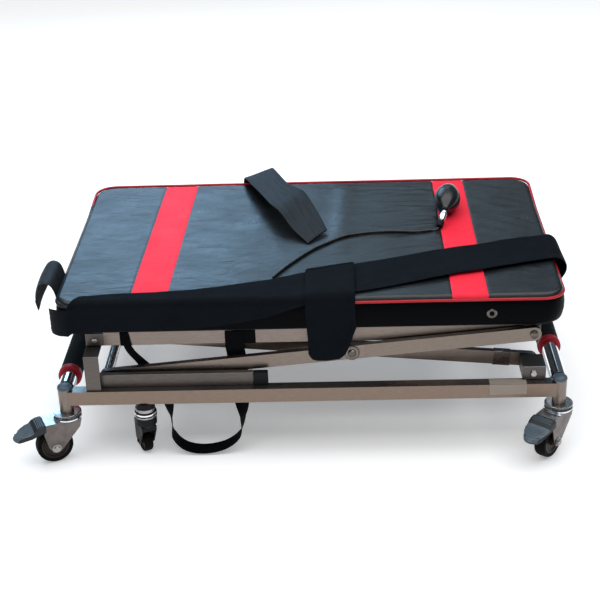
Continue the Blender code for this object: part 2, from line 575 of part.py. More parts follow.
# cross strap, front half: laid over the long strap, down the front, hanging below the deck
LIFT_A = LIFT_B + T_B + 0.0014
cols = []
for j in range(7):
    x = -0.007 + 0.098 * j / 6
    y0 = -0.196 + 0.030 * j / 6
    end_z = 0.212 + (0.0 if j < 3 else (0.008, 0.022, 0.040, 0.055)[j - 3])
    flat = y0 + YE - PAD_E
    total = flat + (PAD_E + LIFT_A) * math.pi / 2 + (MAT_Z1 - PAD_E - end_z)
    cols.append([((x,) + over_front(y0, d, LIFT_A)[0], over_front(y0, d, LIFT_A)[1])
                 for d in fold_nodes(flat, total, LIFT_A, 4, 6, 5)])
grid = [[Vector(cols[j][i][0]) for j in range(7)] for i in range(len(cols[0]))]
nrm = [[Vector((0,) + cols[j][i][1]) for j in range(7)] for i in range(len(cols[0]))]
finish("cross_strap_front", sheet_mesh(grid, nrm, T_B), WEB)

# cross strap, rear half: rises behind the far edge, arches over and lies on the pad
pts = smooth_path([(-0.140, 0.3062, 0.285), (-0.136, 0.3062, 0.315), (-0.130, 0.3065, 0.348), (-0.118, 0.302, 0.374), (-0.098, 0.268, 0.379),
                   (-0.070, 0.215, 0.361), (-0.040, 0.150, 0.347), (-0.018, 0.090, 0.3415), (0.004, 0.030, 0.3402)], 4)
wd = []
for i in range(len(pts)):
    t = min(1.0, max(0.0, (i - 14) / 8.0))
    wd.append(Vector((1.0 - 0.07 * t, 0.40 * t, 0.0)))
finish("cross_strap_rear", ribbon_mesh(pts, wd, 0.096, T_B), WEB)

# strap at the left-hand end: up the end face and curling outwards
pts = smooth_path([(-0.5020, -0.200, 0.272), (-0.5020, -0.200, 0.300), (-0.5030, -0.200, 0.330), (-0.512, -0.198, 0.352), (-0.528, -0.196, 0.356),
                   (-0.541, -0.195, 0.345), (-0.546, -0.194, 0.322), (-0.543, -0.193, 0.300)], 4)
finish("end_strap_left", ribbon_mesh(pts, [Vector((0, 1, 0))] * len(pts), 0.110, T_B), WEB)

# webbing loop: from the front deck channel down between the legs, under the side tube and back
LX0, LX1 = -0.300, -0.150
loop = [(LX1, -0.2861, 0.2600), (LX1, -0.2861, 0.2250), (LX1 + 0.001, -0.2775, 0.2050), (LX1 + 0.002, -0.2750, 0.1600), (LX1 + 0.002, -0.2800, 0.1100),
        (LX1, -0.2950, 0.0700), (LX1 - 0.008, -0.3080, 0.0360), (-0.185, -0.3130, 0.0130), (-0.222, -0.3140, 0.0060), (-0.256, -0.3130, 0.0120),
        (LX0 + 0.019, -0.3080, 0.0360), (LX0 + 0.014, -0.2950, 0.0700), (LX0 + 0.004, -0.2800, 0.1100), (-0.3150, -0.2755, 0.1500),
        (-0.3420, -0.2765, 0.1900), (-0.3620, -0.2861, 0.2250), (-0.3690, -0.2861, 0.2600)]
pts = smooth_path(loop, 4)
TW = [0, 0, 0, 0, 35, 75, 90, 90, 90, 90, 90, 105, 145, 180, 180, 180, 180]
wd = []
for i in range(len(pts)):
    k, f = divmod(i / 4.0, 1.0)
    k = int(k)
    a = TW[k] if k + 1 >= len(TW) else TW[k] * (1 - f) + TW[k + 1] * f
    wd.append(Vector((math.cos(math.radians(a)), math.sin(math.radians(a)), 0.0)))
LW = [0.038] * 13 + [0.030, 0.019, 0.016, 0.016]
lw = [LW[i // 4] + (LW[min(16, i // 4 + 1)] - LW[i // 4]) * (i % 4) / 4 for i in range(len(pts))]
finish("hanging_webbing_loop", ribbon_mesh(pts, wd, lw, 0.0014), WEB)

# ------------------------------------------------------------------ inflation bulb and hose
VALVE0 = Vector((0.276, 0.010, MAT_Z1 + 0.0078))
BULB_D = Vector((0.14, 1.0, 0.0)).normalized()
b0 = Vector((0.2925, 0.052, MAT_Z1 + 0.0300))
prof = [(0.0065, 0.0), (0.0088, 0.004), (0.0150, 0.014), (0.0222, 0.030), (0.0268, 0.046), (0.0285, 0.060), (0.0272, 0.078),
        (0.0225, 0.098), (0.0160, 0.116), (0.0095, 0.131), (0.0045, 0.141), (0, 0.145), (0, 0.0)]
prof = [(0, 0.0)] + prof[:-1]
finish("hand_bulb", revolve(prof, b0, BULB_D, 24), RUBBER)
vd = (b0 - VALVE0).normalized()
L = (b0 - VALVE0).length - 0.0052
prof = [(0, 0.0), (0.0050, 0.0), (0.0062, 0.003), (0.0062, 0.014), (0.0075, 0.016), (0.0075, L - 0.016), (0.0062, L - 0.014), (0.0062, L - 0.005),
        (0.0050, L), (0, L)]
finish("air_valve", revolve(prof, VALVE0 + vd * 0.0004, vd, 20), ZINC)

HZ = MAT_Z1 + 0.0032
hose = [(0.2747, 0.0068, HZ + 0.0036), (0.262, -0.001, HZ), (0.230, -0.004, HZ), (0.192, -0.003, HZ), (0.139, -0.003, HZ), (0.096, -0.012, HZ), (0.074, -0.024, HZ),
        (0.043, -0.048, HZ), (0.017, -0.072, HZ), (-0.009, -0.106, HZ), (-0.039, -0.153, HZ), (-0.059, -0.188, HZ), (-0.0716, -0.2120, HZ)]
pts = smooth_path(hose, 4)
cu = bpy.data.curves.new("air_hose", 'CURVE')
cu.dimensions = '3D'
cu.bevel_depth = 0.0027
cu.bevel_resolution = 2
cu.use_fill_caps = True
sp = cu.splines.new('POLY')
sp.points.add(len(pts) - 1)
for p, q in zip(sp.points, pts):
    p.co = (q.x, q.y, q.z, 1.0)
ho = bpy.data.objects.new("air_hose", cu)
cu.materials.append(material("air_hose", *RUBBER))
bpy.context.scene.collection.objects.link(ho)
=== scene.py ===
import bpy
import bmesh
import json
import math
import random
from mathutils import Vector, Matrix, noise

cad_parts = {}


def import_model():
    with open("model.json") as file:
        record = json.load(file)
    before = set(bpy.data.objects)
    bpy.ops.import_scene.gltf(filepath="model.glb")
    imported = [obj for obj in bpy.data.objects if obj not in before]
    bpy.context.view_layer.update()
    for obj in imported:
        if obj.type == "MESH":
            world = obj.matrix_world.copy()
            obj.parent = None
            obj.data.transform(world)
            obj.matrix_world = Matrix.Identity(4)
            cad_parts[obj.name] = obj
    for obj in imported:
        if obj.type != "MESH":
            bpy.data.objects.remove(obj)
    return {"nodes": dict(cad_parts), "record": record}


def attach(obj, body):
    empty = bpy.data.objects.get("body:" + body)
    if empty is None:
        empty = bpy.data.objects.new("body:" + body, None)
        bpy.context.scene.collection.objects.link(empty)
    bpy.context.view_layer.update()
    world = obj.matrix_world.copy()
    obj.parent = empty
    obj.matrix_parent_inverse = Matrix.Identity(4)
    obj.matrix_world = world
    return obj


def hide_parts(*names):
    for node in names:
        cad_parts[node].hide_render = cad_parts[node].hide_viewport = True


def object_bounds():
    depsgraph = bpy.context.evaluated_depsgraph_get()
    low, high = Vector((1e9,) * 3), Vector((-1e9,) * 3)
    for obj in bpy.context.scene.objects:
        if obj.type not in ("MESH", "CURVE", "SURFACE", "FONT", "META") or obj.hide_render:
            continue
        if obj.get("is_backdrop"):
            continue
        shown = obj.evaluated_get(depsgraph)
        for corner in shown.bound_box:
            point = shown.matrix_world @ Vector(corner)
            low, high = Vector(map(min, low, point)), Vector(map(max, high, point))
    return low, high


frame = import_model()


def plain(v):
    if isinstance(v, dict):
        return {str(k): plain(x) for k, x in v.items()}
    if hasattr(v, "__len__") and not isinstance(v, str):
        return [plain(x) for x in v]
    return float(v)


CAD_BOX = plain(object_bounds())
NODES = frame["nodes"]
rnd = random.Random(11)
sc = bpy.context.scene

# ---------------------------------------------------------------- camera and light
cam_d = bpy.data.cameras.new("camera")
cam = bpy.data.objects.new("camera", cam_d)
sc.collection.objects.link(cam)
cam_d.sensor_width = 36.0
cam_d.lens = 82.15
cam_d.clip_end = 60.0
R = Matrix(((0.999295, 0.020784, 0.031277), (0.018708, 0.446652, -0.894512), (-0.032561, 0.894466, 0.445948)))
cam.matrix_world = Matrix.Translation((0.0671928, -2.68655, 1.5228642)) @ R.to_4x4()
sc.camera = cam
sc.view_settings.view_transform = 'Standard'


def area(name, loc, target, size, power, color=(1, 1, 1), size_y=None):
    d = bpy.data.lights.new(name, 'AREA')
    d.shape = 'RECTANGLE'
    d.size = size
    d.size_y = size_y or size
    d.energy = power
    d.color = color
    o = bpy.data.objects.new(name, d)
    o.location = loc
    v = Vector(target) - Vector(loc)
    o.rotation_euler = v.to_track_quat('-Z', 'Y').to_euler()
    o.visible_camera = False
    sc.collection.objects.link(o)
    return o


area("overhead", (0.0, -0.3, 4.6), (0.0, -0.3, 0.0), 9.0, 400, (1.0, 1.0, 1.0), 6.4)
area("front", (0.6, -4.6, 2.6), (0, 0, 0.3), 1.6, 16, (1.0, 0.97, 0.94), 1.0)
area("window_far", (0.42, 2.60, 1.62), (0.20, -0.1, 0.33), 0.9, 2.6, (0.62, 0.84, 1.0), 0.9)
area("window", (-0.86, 2.55, 1.58), (-0.35, -0.2, 0.33), 1.45, 22, (0.42, 0.70, 1.0), 1.25)
w = bpy.data.worlds.new("studio")
sc.world = w
w.use_nodes = True
bg = w.node_tree.nodes["Background"]
bg.inputs[0].default_value = (0.70, 0.86, 1.0, 1)
bg.inputs[1].default_value = 0.10


# ---------------------------------------------------------------- material helpers
class Mat:
    def __init__(self, name, rgb, rough=0.5, metal=0.0, **kw):
        self.m = bpy.data.materials.new(name)
        self.m.use_nodes = True
        self.t = self.m.node_tree
        self.b = self.t.nodes["Principled BSDF"]
        self.b.inputs["Base Color"].default_value = (*rgb, 1)
        self.b.inputs["Roughness"].default_value = rough
        self.b.inputs["Metallic"].default_value = metal
        for k, v in kw.items():
            self.b.inputs[k].default_value = v
        self.rgb = rgb

    def n(self, kind, **kw):
        nd = self.t.nodes.new(kind)
        for k, v in kw.items():
            if hasattr(nd, k):
                setattr(nd, k, v)
            else:
                nd.inputs[k.replace("_", " ")].default_value = v
        return nd

    def l(self, a, b):
        self.t.links.new(a, b)

    def coord(self, which="Object", scale=(1, 1, 1), rot=(0, 0, 0)):
        tc = self.n("ShaderNodeTexCoord")
        mp = self.n("ShaderNodeMapping")
        mp.inputs["Scale"].default_value = scale
        mp.inputs["Rotation"].default_value = rot
        self.l(tc.outputs[which], mp.inputs["Vector"])
        return mp.outputs["Vector"]

    def noise(self, vec, scale, detail=3.0, rough=0.5, dist=0.0):
        nd = self.n("ShaderNodeTexNoise")
        nd.inputs["Scale"].default_value = scale
        nd.inputs["Detail"].default_value = detail
        nd.inputs["Roughness"].default_value = rough
        nd.inputs["Distortion"].default_value = dist
        self.l(vec, nd.inputs["Vector"])
        return nd.outputs["Fac"]

    def ramp(self, fac, stops):
        nd = self.n("ShaderNodeValToRGB")
        cr = nd.color_ramp
        while len(cr.elements) < len(stops):
            cr.elements.new(0.5)
        for e, (p, c) in zip(cr.elements, stops):
            e.position = p
            e.color = (*c, 1) if len(c) == 3 else c
        self.l(fac, nd.inputs["Fac"])
        return nd.outputs["Color"]

    def rng(self, fac, a, b, c, d):
        nd = self.n("ShaderNodeMapRange")
        for i, v in enumerate((a, b, c, d)):
            nd.inputs[i + 1].default_value = v
        self.l(fac, nd.inputs[0])
        return nd.outputs[0]

    def math(self, op, a, b=None):
        nd = self.n("ShaderNodeMath")
        nd.operation = op
        for i, v in enumerate((a, b)):
            if v is None:
                continue
            if isinstance(v, (int, float)):
                nd.inputs[i].default_value = v
            else:
                self.l(v, nd.inputs[i])
        return nd.outputs[0]

    def mix(self, fac, a, b):
        nd = self.n("ShaderNodeMix")
        nd.data_type = 'RGBA'
        for s, v in ((0, fac), (6, a), (7, b)):
            if isinstance(v, (int, float)):
                nd.inputs[s].default_value = v
            elif isinstance(v, tuple):
                nd.inputs[s].default_value = (*v, 1)
            else:
                self.l(v, nd.inputs[s])
        return nd.outputs[2]

    def color(self, out):
        self.l(out, self.b.inputs["Base Color"])

    def rough(self, out):
        self.l(out, self.b.inputs["Roughness"])

    def bump(self, height, strength=0.3, dist=0.001, prev=None):
        nd = self.n("ShaderNodeBump")
        nd.inputs["Strength"].default_value = strength
        nd.inputs["Distance"].default_value = dist
        self.l(height, nd.inputs["Height"])
        if prev is not None:
            self.l(prev, nd.inputs["Normal"])
        self.l(nd.outputs["Normal"], self.b.inputs["Normal"])
        return nd.outputs["Normal"]


def aluminium(name, tint=(0.60, 0.61, 0.62), floor_reflection_tint=(0.150, 0.105, 0.078), stretch=(1, 30, 30), rough=0.30):
    """Satin silver tube: fine drawn lines, handling marks, and a painted warm floor reflection on faces that turn
    sideways or down.
    """
    M = Mat(name, tint, rough, 1.0)
    v = M.coord("Object", stretch)
    lines = M.noise(v, 60.0, 4.0, 0.6)
    blot = M.noise(M.coord("Object"), 9.0, 4.0, 0.6)
    geo = M.n("ShaderNodeNewGeometry")
    sep = M.n("ShaderNodeSeparateXYZ")
    M.l(geo.outputs["Normal"], sep.inputs[0])
    # painted reflection: the normal's height blends from the warm floor-reflection colour on sideways and downward
    # faces to the silver tint on upward faces
    up = M.rng(sep.outputs[2], -0.15, 0.85, 0.0, 1.0)
    base = M.mix(up, floor_reflection_tint, tint)
    var = M.mix(M.rng(blot, 0.3, 0.7, 0.0, 0.30), base, (0.24, 0.19, 0.16))
    M.color(M.mix(M.rng(lines, 0.35, 0.65, 0.0, 0.30), var, (0.07, 0.055, 0.046)))
    M.rough(M.rng(M.math('ADD', lines, blot), 0.7, 1.3, rough - 0.06, rough + 0.14))
    M.bump(lines, 0.12, 0.0004)
    return M.m


def zinc(name, tint=(0.70, 0.71, 0.73), rough=0.22, side=(0.34, 0.32, 0.31)):
    M = Mat(name, tint, rough, 1.0)
    v = M.coord("Object")
    a = M.noise(v, 34.0, 5.0, 0.62)
    f = M.noise(v, 900.0, 2.0, 0.5)
    geo = M.n("ShaderNodeNewGeometry")
    sep = M.n("ShaderNodeSeparateXYZ")
    M.l(geo.outputs["Normal"], sep.inputs[0])
    # painted reflection and shade: faces that turn sideways or down take the darker side colour, upward faces the
    # bright tint
    body = M.mix(M.rng(sep.outputs[2], -0.1, 0.8, 0.0, 1.0), side, tint)
    M.color(M.mix(M.rng(a, 0.35, 0.7, 0.0, 0.5), body, tuple(0.55 * c for c in side)))
    M.rough(M.rng(a, 0.3, 0.7, rough - 0.05, rough + 0.16))
    M.bump(f, 0.10, 0.0003)
    return M.m


def chrome(name):
    M = Mat(name, (0.82, 0.84, 0.86), 0.07, 1.0)
    a = M.noise(M.coord("Object"), 26.0, 5.0, 0.65)
    M.color(M.mix(M.rng(a, 0.5, 0.8, 0.0, 0.35), (0.83, 0.85, 0.88), (0.60, 0.61, 0.63)))
    M.rough(M.rng(a, 0.4, 0.8, 0.06, 0.20))
    M.bump(M.noise(M.coord("Object", (1, 1, 1)), 320.0, 2.0), 0.04, 0.0002)
    return M.m


def plastic(name, rgb, rough=0.45, grain=1400.0, worn=(0.2, 0.2, 0.2), amount=0.15, spec=0.22):
    M = Mat(name, rgb, rough, 0.0)
    M.b.inputs["Specular IOR Level"].default_value = spec
    v = M.coord("Object")
    g = M.noise(v, grain, 2.0, 0.5)
    s = M.noise(v, 30.0, 5.0, 0.65)
    M.color(M.mix(M.rng(s, 0.5, 0.85, 0.0, amount), rgb, worn))
    M.rough(M.rng(s, 0.3, 0.7, rough - 0.06, rough + 0.12))
    M.bump(g, 0.16, 0.0004)
    return M.m


def rubber(name, rgb=(0.022, 0.022, 0.024), rough=0.62, dusty=(0.10, 0.095, 0.09), spec=0.14):
    M = Mat(name, rgb, rough, 0.0)
    M.b.inputs["Specular IOR Level"].default_value = spec
    v = M.coord("Object")
    d = M.noise(v, 42.0, 6.0, 0.7)
    M.color(M.mix(M.rng(d, 0.5, 0.85, 0.0, 0.4), rgb, dusty))
    M.rough(M.rng(d, 0.3, 0.7, rough - 0.1, rough + 0.12))
    M.bump(M.noise(v, 1600.0, 2.0), 0.18, 0.0004)
    return M.m


def vinyl(name, rgb, rough=0.34, spec=0.5):
    """Coated fabric: fine leather grain, soft creases, faint scuffs."""
    M = Mat(name, rgb, rough, 0.0)
    M.b.inputs["Specular IOR Level"].default_value = spec
    v = M.coord("Object")
    vo = M.n("ShaderNodeTexVoronoi")
    vo.feature = 'DISTANCE_TO_EDGE'
    vo.inputs["Scale"].default_value = 900.0
    M.l(v, vo.inputs["Vector"])
    grain = M.rng(vo.outputs["Distance"], 0.0, 0.12, 0.0, 1.0)
    crease = M.noise(M.coord("Object", (17, 40, 17), (0, 0, 0.45)), 1.0, 6.0, 0.62, 1.4)
    fold = M.noise(M.coord("Object", (7, 15, 7), (0, 0, -0.35)), 1.0, 3.0, 0.5, 0.6)
    scuff = M.noise(M.coord("Object"), 12.0, 6.0, 0.7)
    pale = tuple(min(1.0, c * 1.4 + 0.002) for c in rgb)
    M.color(M.mix(M.rng(scuff, 0.5, 0.8, 0.0, 0.5), rgb, pale))
    M.rough(M.rng(scuff, 0.3, 0.7, rough - 0.05, rough + 0.09))
    a = M.bump(crease, 0.34, 0.0040)
    b = M.bump(fold, 0.40, 0.0075, a)
    M.bump(grain, 0.10, 0.0003, b)
    return M.m


def webbing(name, rgb=(0.020, 0.021, 0.024), rough=0.66, pitch=0.0016, sheen=0.05, spec=0.10):
    """Woven strap.  UV is in metres: u along the strap, v across it."""
    M = Mat(name, rgb, rough, 0.0)
    M.b.inputs["Specular IOR Level"].default_value = spec
    M.b.inputs["Sheen Weight"].default_value = sheen
    M.b.inputs["Sheen Roughness"].default_value = 0.45
    M.b.inputs["Sheen Tint"].default_value = (0.75, 0.85, 1.0, 1)
    uv = M.coord("UV")
    wv = M.n("ShaderNodeTexWave")
    wv.wave_type = 'BANDS'
    wv.bands_direction = 'DIAGONAL'
    wv.inputs["Scale"].default_value = 0.318 / pitch
    wv.inputs["Distortion"].default_value = 0.6
    wv.inputs["Detail Scale"].default_value = 3.0
    M.l(uv, wv.inputs["Vector"])
    w2 = M.n("ShaderNodeTexWave")
    w2.wave_type = 'BANDS'
    w2.bands_direction = 'X'
    w2.inputs["Scale"].default_value = 0.318 / (pitch * 0.55)
    M.l(uv, w2.inputs["Vector"])
    tex = M.math('MULTIPLY', wv.outputs["Fac"], w2.outputs["Fac"])
    soft = M.noise(M.coord("Object"), 22.0, 5.0, 0.6)
    lint = M.noise(M.coord("Object"), 420.0, 2.0, 0.6)
    lite = tuple(min(1, c * 1.7 + 0.0015) for c in rgb)
    c = M.mix(M.rng(soft, 0.3, 0.8, 0.0, 0.7), rgb, lite)
    c = M.mix(M.rng(lint, 0.64, 0.8, 0.0, 0.35), c, (0.030, 0.032, 0.036))
    M.color(M.mix(M.rng(tex, 0.0, 0.6, 0.35, 0.0), c, (0.006, 0.006, 0.007)))
    M.rough(M.rng(tex, 0.0, 1.0, rough + 0.16, rough - 0.06))
    a = M.bump(soft, 0.25, 0.0020)
    M.bump(tex, 0.5, 0.0006, a)
    return M.m


def slotted(piece, mat):
    piece.data.materials.clear()
    piece.data.materials.append(mat)
    return piece


# ---------------------------------------------------------------- mesh helpers
def obj(name, verts, faces, mats, smooth=True, uv=None, sharp=40.0):
    me = bpy.data.meshes.new(name)
    me.from_pydata([tuple(v) for v in verts], [], faces)
    me.update()
    for m in (mats if isinstance(mats, (list, tuple)) else [mats]):
        me.materials.append(m)
    if uv is not None:
        lay = me.uv_layers.new(name="UVMap")
        for lp in me.loops:
            lay.data[lp.index].uv = uv[lp.vertex_index]
    bm = bmesh.new()
    bm.from_mesh(me)
    bmesh.ops.recalc_face_normals(bm, faces=bm.faces[:])
    if bm.calc_volume(signed=True) < 0:
        bmesh.ops.reverse_faces(bm, faces=bm.faces[:])
    bm.to_mesh(me)
    bm.free()
    for p in me.polygons:
        p.use_smooth = smooth
    if smooth and sharp:
        me.set_sharp_from_angle(angle=math.radians(sharp))
    o = bpy.data.objects.new(name, me)
    sc.collection.objects.link(o)
    return o


def basis(d):
    d = Vector(d).normalized()
    h = Vector((0, 0, 1)) if abs(d.z) < 0.9 else Vector((1, 0, 0))
    a = d.cross(h).normalized()
    return a, d.cross(a).normalized(), d


def turned(name, prof, origin, direction, mats, n=48, sharp=35.0, wob=None):
    a, b, d = basis(direction)
    o = Vector(origin)
    vs, rings, fs = [], [], []
    for r, s in prof:
        if r < 1e-7:
            rings.append([len(vs)])
            vs.append(o + d * s)
        else:
            rings.append(list(range(len(vs), len(vs) + n)))
            for k in range(n):
                t = 2 * math.pi * k / n
                rr = r * (1 + (wob(t, s) if wob else 0))
                vs.append(o + d * s + (a * math.cos(t) + b * math.sin(t)) * rr)
    closed = len(rings[0]) > 1 and len(rings[-1]) > 1
    for p, q in list(zip(rings, rings[1:])) + ([(rings[-1], rings[0])] if closed else []):
        for k in range(n):
            k2 = (k + 1) % n
            if len(p) == 1 and len(q) == 1:
                break
            if len(p) == 1:
                fs.append([p[0], q[k2], q[k]])
            elif len(q) == 1:
                fs.append([p[k], p[k2], q[0]])
            else:
                fs.append([p[k], p[k2], q[k2], q[k]])
    return obj(name, vs, fs, mats, sharp=sharp)


def extruded(name, poly, origin, u, v, w, d0, d1, mats, bevel=0.0, seg=2, sharp=35.0):
    o, u, v, w = Vector(origin), Vector(u), Vector(v), Vector(w)
    n = len(poly)
    vs = [o + u * a + v * b + w * d0 for a, b in poly] + [o + u * a + v * b + w * d1 for a, b in poly]
    fs = [list(range(n))[::-1], list(range(n, 2 * n))] + [[i, (i + 1) % n, n + (i + 1) % n, n + i] for i in range(n)]
    ob = obj(name, vs, fs, mats, sharp=sharp)
    if bevel:
        add_bevel(ob, bevel, seg)
    return ob


def add_bevel(ob, width, seg=2, angle=30.0):
    bv = ob.modifiers.new("bevel", 'BEVEL')
    bv.width = width
    bv.segments = seg
    bv.limit_method = 'ANGLE'
    bv.angle_limit = math.radians(angle)
    bv.harden_normals = False
    return ob


def boxy(name, lo, hi, mats, bevel=0.001, seg=2):
    return extruded(name, [(lo[0], lo[1]), (hi[0], lo[1]), (hi[0], hi[1]), (lo[0], hi[1])], (0, 0, 0), (1, 0, 0), (0, 1, 0), (0, 0, 1),
                    lo[2], hi[2], mats, bevel, seg)


def catmull(P, n):
    P = [Vector(p) for p in P]
    P = [P[0] * 2 - P[1]] + P + [P[-1] * 2 - P[-2]]
    out = []
    for i in range(1, len(P) - 2):
        for k in range(n):
            t = k / n
            a, b, c, d = P[i - 1], P[i], P[i + 1], P[i + 2]
            out.append(0.5 * ((2 * b) + (c - a) * t + (2 * a - 5 * b + 4 * c - d) * t * t + (3 * b - a - 3 * c + d) * t * t * t))
    out.append(P[-2].copy())
    return out


def refine(ctrl, nu, nv):
    """Smooth surface through a coarse grid of points."""
    cols = [catmull([row[j] for row in ctrl], nu) for j in range(len(ctrl[0]))]
    return [catmull([c[i] for c in cols], nv) for i in range(len(cols[0]))]


def strap(name, rows, t, mat, hem=(0.0, 0.0), edge=0.0018, lift_hem=1.75, flip=False):
    """Closed strap of thickness t around a mid-surface grid; rounded edges, folded hems at the ends."""
    nr, nc = len(rows), len(rows[0])
    nrm = [[None] * nc for _ in range(nr)]
    for i in range(nr):
        for j in range(nc):
            a = rows[min(i + 1, nr - 1)][j] - rows[max(i - 1, 0)][j]
            b = rows[i][min(j + 1, nc - 1)] - rows[i][max(j - 1, 0)]
            n = a.cross(b)
            nrm[i][j] = (n if n.length > 1e-12 else Vector((0, 0, 1))).normalized() * (-1 if flip else 1)
    along = [0.0]
    for i in range(1, nr):
        along.append(along[-1] + (rows[i][nc // 2] - rows[i - 1][nc // 2]).length)
    total = along[-1]
    vs, uv, sec = [], [], []
    for i in range(nr):
        ring = []
        width = [0.0]
        for j in range(1, nc):
            width.append(width[-1] + (rows[i][j] - rows[i][j - 1]).length)
        wtot = width[-1]
        for side in (1, -1):
            js = range(nc) if side > 0 else range(nc - 1, -1, -1)
            for j in js:
                d = min(width[j], wtot - width[j])
                k = math.sqrt(max(0.0, 1 - (1 - d / edge) ** 2)) if d < edge else 1.0
                k = 0.22 + 0.78 * k
                th = t / 2 * k
                if side > 0:
                    if hem[0] and along[i] < hem[0]:
                        th += t * (lift_hem - 1) * k
                    if hem[1] and total - along[i] < hem[1]:
                        th += t * (lift_hem - 1) * k
                ring.append(len(vs))
                vs.append(rows[i][j] + nrm[i][j] * th * side)
                uv.append((along[i], width[j]))
        sec.append(ring)
    n = 2 * nc
    fs = []
    for i in range(nr - 1):
        for j in range(n):
            j2 = (j + 1) % n
            fs.append([sec[i][j], sec[i][j2], sec[i + 1][j2], sec[i + 1][j]])
    for r, rev in ((sec[0], True), (sec[-1], False)):
        for j in range(nc - 1):
            f = [r[j], r[j + 1], r[n - 2 - j], r[n - 1 - j]]
            fs.append(f[::-1] if rev else f)
    return obj(name, vs, fs, mat, uv=uv, sharp=50.0)


def grid_area(rows):
    s = 0.0
    for i in range(len(rows) - 1):
        for j in range(len(rows[0]) - 1):
            a, b, c, d = rows[i][j], rows[i][j + 1], rows[i + 1][j + 1], rows[i + 1][j]
            s += (b - a).cross(c - a).length / 2 + (c - a).cross(d - a).length / 2
    return s


def tube(name, pts, r, mat, n=12, caps=True):
    """Round tube along points, closed at both ends."""
    vs, fs, sec = [], [], []
    up = Vector((0, 0, 1))
    prev = None
    for i, p in enumerate(pts):
        T = (pts[min(i + 1, len(pts) - 1)] - pts[max(i - 1, 0)]).normalized()
        a = (prev - T * prev.dot(T)).normalized() if prev is not None else T.cross(up if abs(T.z) < 0.9 else Vector((1, 0, 0))).normalized()
        prev = a
        b = T.cross(a)
        ring = []
        for k in range(n):
            t = 2 * math.pi * k / n
            ring.append(len(vs))
            vs.append(p + (a * math.cos(t) + b * math.sin(t)) * r)
        sec.append(ring)
    for i in range(len(sec) - 1):
        for k in range(n):
            k2 = (k + 1) % n
            fs.append([sec[i][k], sec[i][k2], sec[i + 1][k2], sec[i + 1][k]])
    fs.append(sec[0][::-1])
    fs.append(sec[-1])
    return obj(name, vs, fs, mat, sharp=60.0)


# materials
# the second colour given to aluminium() is the painted warm floor reflection on sideways and downward faces
ALU = aluminium("satin_aluminium")
ALU_R = aluminium("satin_aluminium_round", stretch=(30, 30, 1))
ALU_Y = aluminium("satin_aluminium_across", stretch=(30, 1, 30))
SIDE = aluminium("side_tube_aluminium", (0.34, 0.335, 0.33), (0.185, 0.122, 0.086), (1, 30, 30), 0.28)
ALU_D = aluminium("bracket_aluminium", (0.30, 0.31, 0.32), (0.060, 0.050, 0.045), (1, 20, 20), 0.36)
ALU_L = aluminium("leg_aluminium", (0.42, 0.41, 0.40), (0.165, 0.128, 0.100), (1, 30, 30), 0.28)
# the last colour given to zinc() is the painted reflection and shade on sideways and downward faces; the brown of the
# fork and fastener sides is painted floor reflection
ZINC = zinc("bright_zinc")
ZINC_D = zinc("fork_zinc", (0.72, 0.76, 0.80), 0.22, (0.085, 0.060, 0.048))
ZINC_B = zinc("dark_zinc_fastener", (0.30, 0.29, 0.28), 0.30, (0.11, 0.095, 0.085))
CHROME = chrome("polished_chrome")
VINYL = vinyl("pad_vinyl_black", (0.0055, 0.0075, 0.0095), 0.31, 0.5)
# painted shade: the pad's side boxing and underside use a much darker, nearly non-reflective copy of the top vinyl
VINYL_SIDE_SHADED = vinyl("pad_boxing_shaded_black", (0.0007, 0.0009, 0.0018), 0.42, 0.035)
VINYL_RED = vinyl("pad_vinyl_red", (0.86, 0.022, 0.050), 0.52, 0.16)
PIPING = vinyl("piping_red", (0.42, 0.006, 0.016), 0.34, 0.35)
PIPING_K = vinyl("piping_black", (0.004, 0.005, 0.007), 0.34, 0.35)
WEB = webbing("webbing_black", (0.0012, 0.0014, 0.0020), 0.66, 0.0016, 0.0, 0.05)
WEB_B = webbing("strap_black_wide", (0.0018, 0.0036, 0.0062), 0.60, 0.0019, 0.0, 0.055)
WEB_G = webbing("strap_grey_sheen", (0.0016, 0.0034, 0.0055), 0.42, 0.0022, 0.0, 0.28)
FOAM = rubber("grip_foam", (0.006, 0.009, 0.011), 0.80, (0.02, 0.026, 0.03), 0.10)
CUFF = vinyl("grip_collar_red", (0.33, 0.010, 0.020), 0.40, 0.25)
CAPM = plastic("post_cap", (0.055, 0.085, 0.115), 0.30, 1200.0, (0.16, 0.22, 0.27), 0.2, 0.4)
BLK = plastic("black_plastic", (0.0050, 0.0052, 0.0058), 0.42, 1400.0, (0.04, 0.04, 0.04), 0.15, 0.14)
GREY = plastic("pedal_grey", (0.075, 0.105, 0.130), 0.38, 1500.0, (0.17, 0.22, 0.25), 0.35, 0.35)
# partly painted shade: this darker grey is the real rear step and also goes on every pedal face that turns sideways or
# down
GREY_D = plastic("pedal_step_and_shaded_sides_grey", (0.012, 0.017, 0.022), 0.40, 1500.0, (0.06, 0.075, 0.085), 0.3, 0.3)
TREAD = rubber("tyre_black", (0.0028, 0.0025, 0.0023), 0.58, (0.010, 0.008, 0.007), 0.06)
HUBM = plastic("hub_plastic", (0.018, 0.011, 0.009), 0.38, 900.0, (0.045, 0.028, 0.022), 0.3, 0.2)
BULBM = rubber("bulb_rubber", (0.0060, 0.0070, 0.0080), 0.26, (0.014, 0.016, 0.017), 0.5)
LABEL = plastic("blank_label", (0.30, 0.255, 0.215), 0.35, 700.0, (0.22, 0.19, 0.16), 0.4, 0.25)

BODY = {}
for _b, _m in frame["record"]["behaviour"]["bodies"].items():
    for _n in _m:
        BODY[_n] = _b


